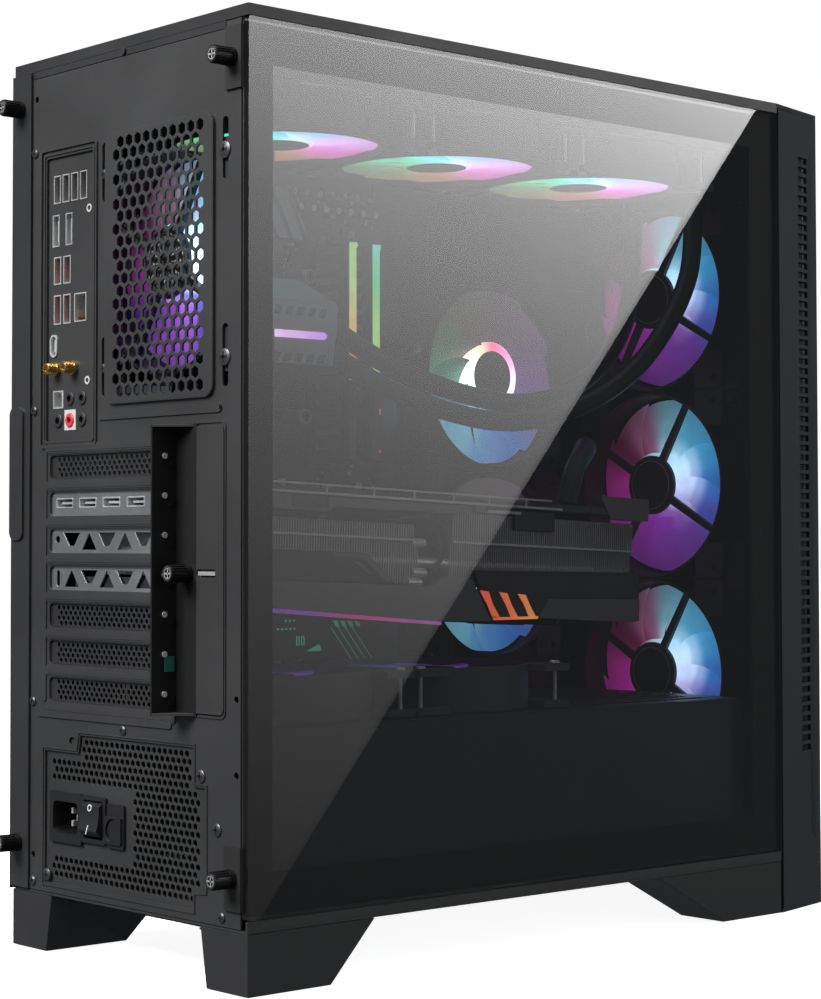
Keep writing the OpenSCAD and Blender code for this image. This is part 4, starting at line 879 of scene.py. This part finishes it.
s = Shape()
s.hull([(t, y, z) for y, z in ((-22, 434), (-150, 434), (-164, 412), (-164, 404), (-22, 404)) for t in (150, 174.5)])
s.hull([(t, y, z) for y, z in ((-22, 404), (-58, 404), (-58, 296), (-22, 296)) for t in (140, 174.5)])
for k in range(8):
    y = -70 - k * 11
    s.hull([(t, y + dy, z) for dy, z in ((0, 434.2), (-3, 434.2), (-19, 403.6), (-16, 403.6)) for t in (149.2, 150.2)], 1)
for k in range(15):
    s.box((139.4, -58.4, 304 + k * 8), (168, -21.6, 307 + k * 8), 1)
s.make("board_heatsink_blocks", [GREY, INSIDE], "chassis", ("board_heatsinks",), 0.5)
s = Shape()
s.hull([(t, y, z) for y, z in ((-150, 138), (-150, 232), (-226, 232), (-235.5, 222), (-235.5, 138)) for t in (163, 174.5)])
s.box((166, -148, 192), (174.5, -60, 230))
s.make("board_shield", [CARD_DARK], "chassis", ("board_heatsinks",), 0.6)
SIGNAL = glow_strip("green_glow", "Y", -240, -150, [(0.03, 0.30, 0.16), (0.03, 0.42, 0.24), (0.10, 0.75, 0.55)], 0.55)
s = Shape()
for k in range(4):
    y = -197 - k * 5.6
    s.hull([(t, y + dy, z) for dy, z in ((0, 178), (-3, 178), (-5.5, 174), (-2.5, 174)) for t in (162.7, 163.1)])
    s.hull([(t, y + 2 + dy, z) for dy, z in ((0, 174), (-0.6, 174), (-19, 152), (-18.4, 152)) for t in (162.8, 163.1)])
s.hull([(t, y, z) for y, z in ((-176, 160), (-188, 160), (-186, 164)) for t in (162.7, 163.1)])
for y, z in [(-154 - k * 3.2, 173.6) for k in range(5)] + [(-160 - k * 3.2, 178.5) for k in range(3)]:
    s.turned((y, z), 0, [(0.6, 162.6), (0.6, 163.1)], 12)
for y in (-169.4, -173.2):
    segments = [((-1.2, 2.2), (1.2, 2.7)), ((-1.2, -2.7), (1.2, -2.2)), ((-1.2, 0), (-0.7, 2.7)), ((0.7, 0), (1.2, 2.7)),
                ((-1.2, -2.7), (-0.7, 0)), ((0.7, -2.7), (1.2, 0))]
    for (a, b), (c, d) in segments:
        s.box((162.6, y + a, 166.4 + b), (163.1, y + c, 166.4 + d))
s.make("board_lights", [SIGNAL], "chassis")

s = Shape()
for y, z in ((-175, 384), (-172, 300)):
    s.turned((y, z), 0, [(3.6, 158), (4.4, 158), (4.4, 160), (0, 160)], 32, 0)
    s.turned((y, z), 0, [(3.6, 158), (3.6, 158.4), (0, 158.4)], 32, 1)
    s.turned((y, z), 0, [(4.6, 160), (4.6, 174.6)], 24, 1)
    s.box((157.7, y - 2.2, z - 0.5), (158.5, y + 2.2, z + 0.5), 2)
    s.box((157.7, y - 0.5, z - 2.2), (158.5, y + 0.5, z + 2.2), 2)
s.make("cooler_standoffs", [WHITE, GREY, SOCKET], "chassis")

# Memory
for k, (y, colours) in enumerate(((-187, [(1.0, 0.30, 0.12), (1.0, 0.75, 0.25), (0.62, 0.95, 0.30), (0.45, 0.90, 0.35)]),
                                  (-205.6, [(0.55, 0.95, 0.25), (0.50, 0.95, 0.30), (0.10, 0.90, 0.35), (0.20, 0.95, 0.80)]))):
    bar = glow_strip(f"memory_glow_{k + 1}", "Z", 330, 404, colours, 0.95)
    s = Shape()
    s.box((138, y - 3.5, 272.5), (166, y + 3.5, 403.4), 0)
    s.hull([(t, y + d, z) for d in (-3.0, 3.0) for t, z in ((133.4, 274), (138, 272.5), (138, 404), (133.4, 402.5))])
    s.hull([(t, y + d, z) for d in (-2.7, 2.7) for t in (132.8, 133.6) for z in (321, 403)], 1)
    s.box((132.9, y - 3.8, 400.4), (136, y - 2.0, 403.2), 1)
    for z in range(280, 400, 9):
        s.box((142, y - 3.6, z), (163, y + 3.6, z + 4.5), 2)
    s.make(f"memory_bar_{k + 1}", [CARD_DARK, bar, GREY], "chassis", ("memory_sticks",), 0.25)

# Pump
s = Shape()
PUMP_BLUE = grained("pump_face", (0.20, 0.26, 0.30), 0.32, 0.3, grain=1500.0, bump=0.15)
s.hull([(118, -78, 327), (118, -158, 327), (116, -160, 349), (116, -78, 349), (116, -78, 363), (116, -160, 363),
        (150, -78, 327), (150, -158, 327), (150, -160, 363), (150, -78, 363)])
s.hull([(116, -78, 363.2), (116, -160, 363.2), (126, -78, 376.4), (126, -140, 376.4), (150, -78, 376.4),
        (150, -140, 376.4), (150, -160, 363.2)], 1)
s.hull([(119, -78, 326.8), (119, -157, 326.8), (132, -152, 315), (132, -78, 315), (150, -78, 315), (150, -152, 315),
        (150, -157, 326.8)], 2)
for row, z in enumerate((357, 330.5)):
    for k in range(9):
        y = -150 + k * 8.4
        s.hull([(t, y + d, z + h) for d, h in ((0, -2.4), (4.4, -2.4), (2.2, 2.6), (-2.2, 2.6))
                for t in ((115.7, 116.3) if row == 0 else (117.0, 118.2))], 3)
s.box((117, -78, 340.6), (119, -156, 346.8), 3)
s.turned((-118, 346), 0, [(30, 149), (30, 170.8)], 64, 2)
for a in (0, 90, 180, 270):
    y, z = -118 + 38 * math.cos(math.radians(a + 45)), 346 + 38 * math.sin(math.radians(a + 45))
    s.turned((y, z), 0, [(3, 160), (3, 171)], 20, 4)
s.make("pump_body", [GREY, PUMP_BLUE, CARD_DARK, SOCKET, FIN], "chassis", ("pump_block",), 0.4)
s = Shape()
for x, z in ((125, 333), (125, 348.5)):
    s.turned((x, z), 1, [(7.2, -170), (7.2, -160), (6.4, -158), (6.4, -150)], 32)
s.make("tube_collars", [RUBBER], "chassis", (), 0.3)
PUMP_LIGHT = glow_strip("pump_glow", "Y", -152, -80, [(0.55, 0.22, 0.95), (0.85, 0.55, 1.0), (0.95, 0.7, 1.0)], 1.6)
s = Shape()
s.hull([(t, y, z) for t in (115.6, 117.2) for y, z in ((-79, 341.6), (-150, 341.6), (-152, 343.7), (-150, 345.8), (-79, 345.8))])
s.make("pump_light", [PUMP_LIGHT], "chassis")

# Graphics card, in the frame that tilts with it
s = Shape(CARD_FRAME)
for k in range(178):
    y = -17 - k * 1.8
    if -186 < y < -161:
        continue
    top = 240.4 if y > -156.5 else (232.0 if y > -186 else 248.6)
    if -266 < y < -233:
        top = 240.5
    if y < -336:
        continue
    s.box((48.5, y - 0.28, 208), (150, y + 0.28, 231.6))
    s.box((46.6, y - 0.28, 232.6), (150, y + 0.28, top)) if top > 233 else None
s.box((46, -163, 231.5), (150, -16, 232.7))
s.box((46, -338, 231.5), (150, -186, 232.7))
# Near-black block inside the fin stack: painted shade for the shade between the fins
s.box((60, -336, 212), (148, -17, 230), 1)
for y, z in ((-162, 230.6), (-163.5, 214), (-160, 208.5)):
    s.turned((50, z), 1, [(1.0, y - 5.5), (2.6, y - 4.5), (2.9, y - 2), (2.9, y + 6)], 24, 2)
s.turned((52, 220), 1, [(3, -330), (3, -20)], 24, 2)
s.make("card_fins", [FIN, SHADE_BLACK, SHELL], "chassis", ("card_heatsink",))

s = Shape(CARD_FRAME)
s.hull([(t, y, z) for t in (41.2, 43.4) for y, z in ((-5, 223.4), (-117, 223.4), (-138, 207.5), (-5, 207.5))], 0)
s.plate([(-93, 223), (-116.6, 223), (-136.4, 208.4), (-131.6, 208.4), (-113.8, 220.6), (-93, 220.6)], [], 0, 40.9, 41.4, 1)
s.plate([(-107, 218.4), (-112.4, 218.4), (-122, 211.6), (-119.6, 211.6)], [], 0, 40.9, 41.4, 1)
s.plate([(-5, 206.8), (-166, 206.8), (-175, 212), (-195.6, 212), (-212.4, 188.2), (-174, 187.4), (-54, 192.4), (-5, 194.6)],
        [], 0, 40.4, 44, 1)
s.plate([(-197.6, 216.6), (-336.6, 219.4), (-336.6, 203.8), (-257.4, 202.6), (-249.6, 190.4), (-213.6, 188.4)],
        [], 0, 40.8, 44, 0)
s.plate([(-258.4, 202), (-336.6, 203.4), (-336.6, 190.6), (-330, 189.6), (-250.8, 190.6)], [], 0, 40.2, 44, 1)
s.make("card_side_plates", [CARD_DARK, CARD], "chassis", ("card_shroud",), 0.35)
s = Shape(CARD_FRAME)
s.plate(rect((42.6, -338), (154.5, -5)), [ring(99, y, 46.5, 64) for y in (-62, -168, -274)], 2, 190.6, 206.4)
for y in (-62, -168, -274):
    s.turned((99, y), 2, [(16, 204), (16, 206.4)], 40)
    for a in (0, 120, 240):
        u = Vector((math.cos(math.radians(a)), math.sin(math.radians(a))))
        w = Vector((-u.y, u.x))
        s.plate([tuple(Vector((99, y)) + u * r + w * x) for r, x in ((15, -2), (47, -2), (47, 2), (15, 2))], [], 2, 204, 206.2)
s.make("card_shroud_tray", [CARD_DARK], "chassis", ("card_shroud",), 0.5)
EDGE_GLOW = glow_strip("card_edge_glow", "Y", -180, -10, [(0.45, 0.10, 0.60), (0.55, 0.06, 0.42), (0.60, 0.04, 0.22),
                                                         (0.30, 0.05, 0.40), (0.16, 0.06, 0.50), (0.12, 0.06, 0.55)], 0.8)
s = Shape(CARD_FRAME)
s.plate([(-6, 194.4), (-54, 192.2), (-174, 187.2), (-174, 185.4), (-54, 189.8), (-6, 192.2)], [], 0, 41.3, 42.6)
s.make("card_edge_light", [EDGE_GLOW], "chassis")
SLASH = glow_strip("card_slash_glow", "Y", -250, -203, [(1.0, 0.42, 0.10), (1.0, 0.22, 0.08), (0.95, 0.12, 0.06)], 1.15)
s = Shape(CARD_FRAME)
for k, y in enumerate((-203, -218, -233)):
    s.plate([(y, 205.4 - k * 0.6), (y - 6.2, 205 - k * 0.6), (y - 9.8, 198), (y - 15.5, 190.8), (y - 9.8, 190.8),
             (y - 5.4, 198)], [], 0, 40.3, 41.2)
s.plate([(-213.4, 190.4), (-250, 191.8), (-249.2, 190.2), (-214, 188.8)], [], 0, 40.3, 41.2)
s.make("card_slashes", [SLASH], "chassis")

s = Shape(CARD_FRAME)
s.plate([(-5, 252.6), (-5, 244.6), (-90, 244.6), (-94, 247.4), (-197, 248.2), (-197, 252.6)], [], 0, 42.4, 43.6, 0)
s.box((41.9, -90, 246.8), (43.8, -64, 252.3), 1)
s.box((42.2, -208, 249.4), (44, -199, 255), 0)
s.box((42.0, -270, 253.4), (44.2, -5, 254.9), 2)
s.box((42.6, -262, 258.2), (44, -5, 259.4), 2)
s.box((42.7, -336, 254.8), (154.5, -5, 256.4), 1)
s.box((42.2, -236, 249.6), (44.2, -209, 251.4), 2)
s.box((44.5, -266, 241), (62, -233, 252), 1)
for y in (-34, -88, -122, -152, -182, -210, -240):
    s.box((42.2, y - 0.6, 254.6), (43.4, y + 0.6, 258.4), 2)
s.hull([(t, y, z) for t in (42, 50) for y, z in ((-302, 264), (-345, 264), (-345, 250.6), (-312, 250.6))], 0)
s.make("card_top_rail", [CARD, CARD_DARK, FIN], "chassis", (), 0.3)

# Glass print and front filter cloth
s = Shape()
s.plate(rect((-417.1, 37.8), (-0.5, 488.4)), [rect((-395.5, 60.1), (-19.2, 466.1))], 0, 4.02, 4.3)
s.make("glass_border_print", [PRINT], "glass_door", ())
cloth = Look("filter_cloth", 0.8)
weave = cloth.node("ShaderNodeTexChecker", {"Vector": cloth.where, "Scale": 900.0}).outputs["Fac"]
cloth.to("Base Color", cloth.ramp(weave, [(0.0, (0.004,) * 3), (1.0, (0.012,) * 3)])).bump(weave, 0.6)
s = Shape()
s.box((19, -464.2, 38), (192, -463.4, 472))
s.make("front_filter", [cloth.material], "fascia", ())

# Stage: floor, world and lights


def plane(name, centre, across, up, width, height, look):
    x, y = Vector(across).normalized(), Vector(up).normalized()
    mesh = bpy.data.meshes.new(name)
    c = Vector(centre)
    mesh.from_pydata([c + x * (sx * width / 2) + y * (sy * height / 2) for sx, sy in ((-1, -1), (1, -1), (1, 1), (-1, 1))],
                     [], [(0, 1, 2, 3)])
    mesh.materials.append(look)
    made = bpy.data.objects.new(name, mesh)
    bpy.context.collection.objects.link(made)
    return made


floor_look = Look("floor", 0.8)
floor_look.to("Base Color", floor_look.ramp(floor_look.noise(2.0), [(0.3, (0.93,) * 3), (0.7, (0.95,) * 3)]))
floor_look.shader.inputs["Emission Color"].default_value = (1, 1, 1, 1)
floor_look.shader.inputs["Emission Strength"].default_value = 0.92
floor = plane("floor", (0, 0, -0.0005), (1, 0, 0), (0, 1, 0), 14, 14, floor_look.material)
floor.visible_glossy = False
floor.visible_diffuse = False

world = bpy.data.worlds.new("studio")
scene.world = world
world.use_nodes = True
tree = world.node_tree
tree.nodes.clear()
paths = tree.nodes.new("ShaderNodeLightPath")
white = tree.nodes.new("ShaderNodeBackground")
white.inputs["Color"].default_value, white.inputs["Strength"].default_value = (1, 1, 1, 1), 1.0
dim = tree.nodes.new("ShaderNodeBackground")
dim.inputs["Color"].default_value, dim.inputs["Strength"].default_value = (0.9, 0.95, 1.0, 1), 0.16
blend = tree.nodes.new("ShaderNodeMixShader")
tree.links.new(paths.outputs["Is Camera Ray"], blend.inputs[0])
tree.links.new(dim.outputs[0], blend.inputs[1])
tree.links.new(white.outputs[0], blend.inputs[2])
tree.links.new(blend.outputs[0], tree.nodes.new("ShaderNodeOutputWorld").inputs["Surface"])


def area(name, at, toward, size, power, colour=(1, 1, 1), glossy=True):
    data = bpy.data.lights.new(name, "AREA")
    data.shape, data.size, data.size_y = "RECTANGLE", size[0], size[1]
    data.energy, data.color = power, colour
    made = bpy.data.objects.new(name, data)
    made.location = at
    made.rotation_euler = (Vector(toward) - Vector(at)).to_track_quat("-Z", "Y").to_euler()
    made.visible_glossy = glossy
    bpy.context.collection.objects.link(made)
    return made


area("key_rear", (0.3, 2.3, 1.9), (0, 0.2, 0.3), (1.6, 1.2), 105)
area("overhead", (0.0, 0.1, 2.6), (0, 0, 0), (2.4, 2.4), 60)
area("fill_glass", (-2.2, 0.4, 1.1), (0, 0, 0.25), (1.2, 1.2), 9, glossy=False)

# Softbox that shows in the upper left of the glass: it lies where the mirrored camera sees the shape
SOFT_D = 1400.0
MIRROR = (909.48, 732.21, 223.9)


def behind(y, z):
    k = 1 + SOFT_D / MIRROR[0]
    return P(MIRROR[0] - MIRROR[0] * k, MIRROR[1] + (y - MIRROR[1]) * k, MIRROR[2] + (z - MIRROR[2]) * k)


EDGE_A, EDGE_B = (-396.7, 487.9), (-13.3, 44.6)
slope = ((EDGE_B[0] - EDGE_A[0]) * 0.12, (EDGE_B[1] - EDGE_A[1]) * 0.12)
corners = [EDGE_A, (EDGE_B[0] + slope[0], EDGE_B[1] + slope[1]),
           (-0.3, EDGE_B[1] + slope[1]), (-0.3, 488.6), (EDGE_A[0] - slope[0] * 0.02, 488.6)]
soft = Look("softbox")
axes = soft.node("ShaderNodeSeparateXYZ", {"Vector": soft.where}).outputs
k = 1 + SOFT_D / MIRROR[0]
# Brightness over the glass falls by exp(-0.007) a millimetre down and exp(-0.0015) towards the rear
low_y, low_z = behind(-5, 480)[1], behind(-5, 480)[2]
down = soft.math("MULTIPLY", soft.math("SUBTRACT", axes["Z"], low_z), 7.0 / k)
along = soft.math("MULTIPLY", soft.math("SUBTRACT", axes["Y"], low_y), -1.5 / k)
glow = soft.math("MULTIPLY", soft.math("EXPONENT", soft.math("ADD", down, along)), 6.9)
soft.shader.inputs["Base Color"].default_value = (0, 0, 0, 1)
soft.shader.inputs["Emission Color"].default_value = (1, 1, 1, 1)
soft.to("Emission Strength", glow)
mesh = bpy.data.meshes.new("softbox")
mesh.from_pydata([behind(*c) for c in corners], [], [tuple(range(len(corners)))])
mesh.materials.append(soft.material)
softbox = bpy.data.objects.new("softbox", mesh)
bpy.context.collection.objects.link(softbox)
softbox.visible_camera = softbox.visible_diffuse = softbox.visible_shadow = softbox.visible_transmission = False
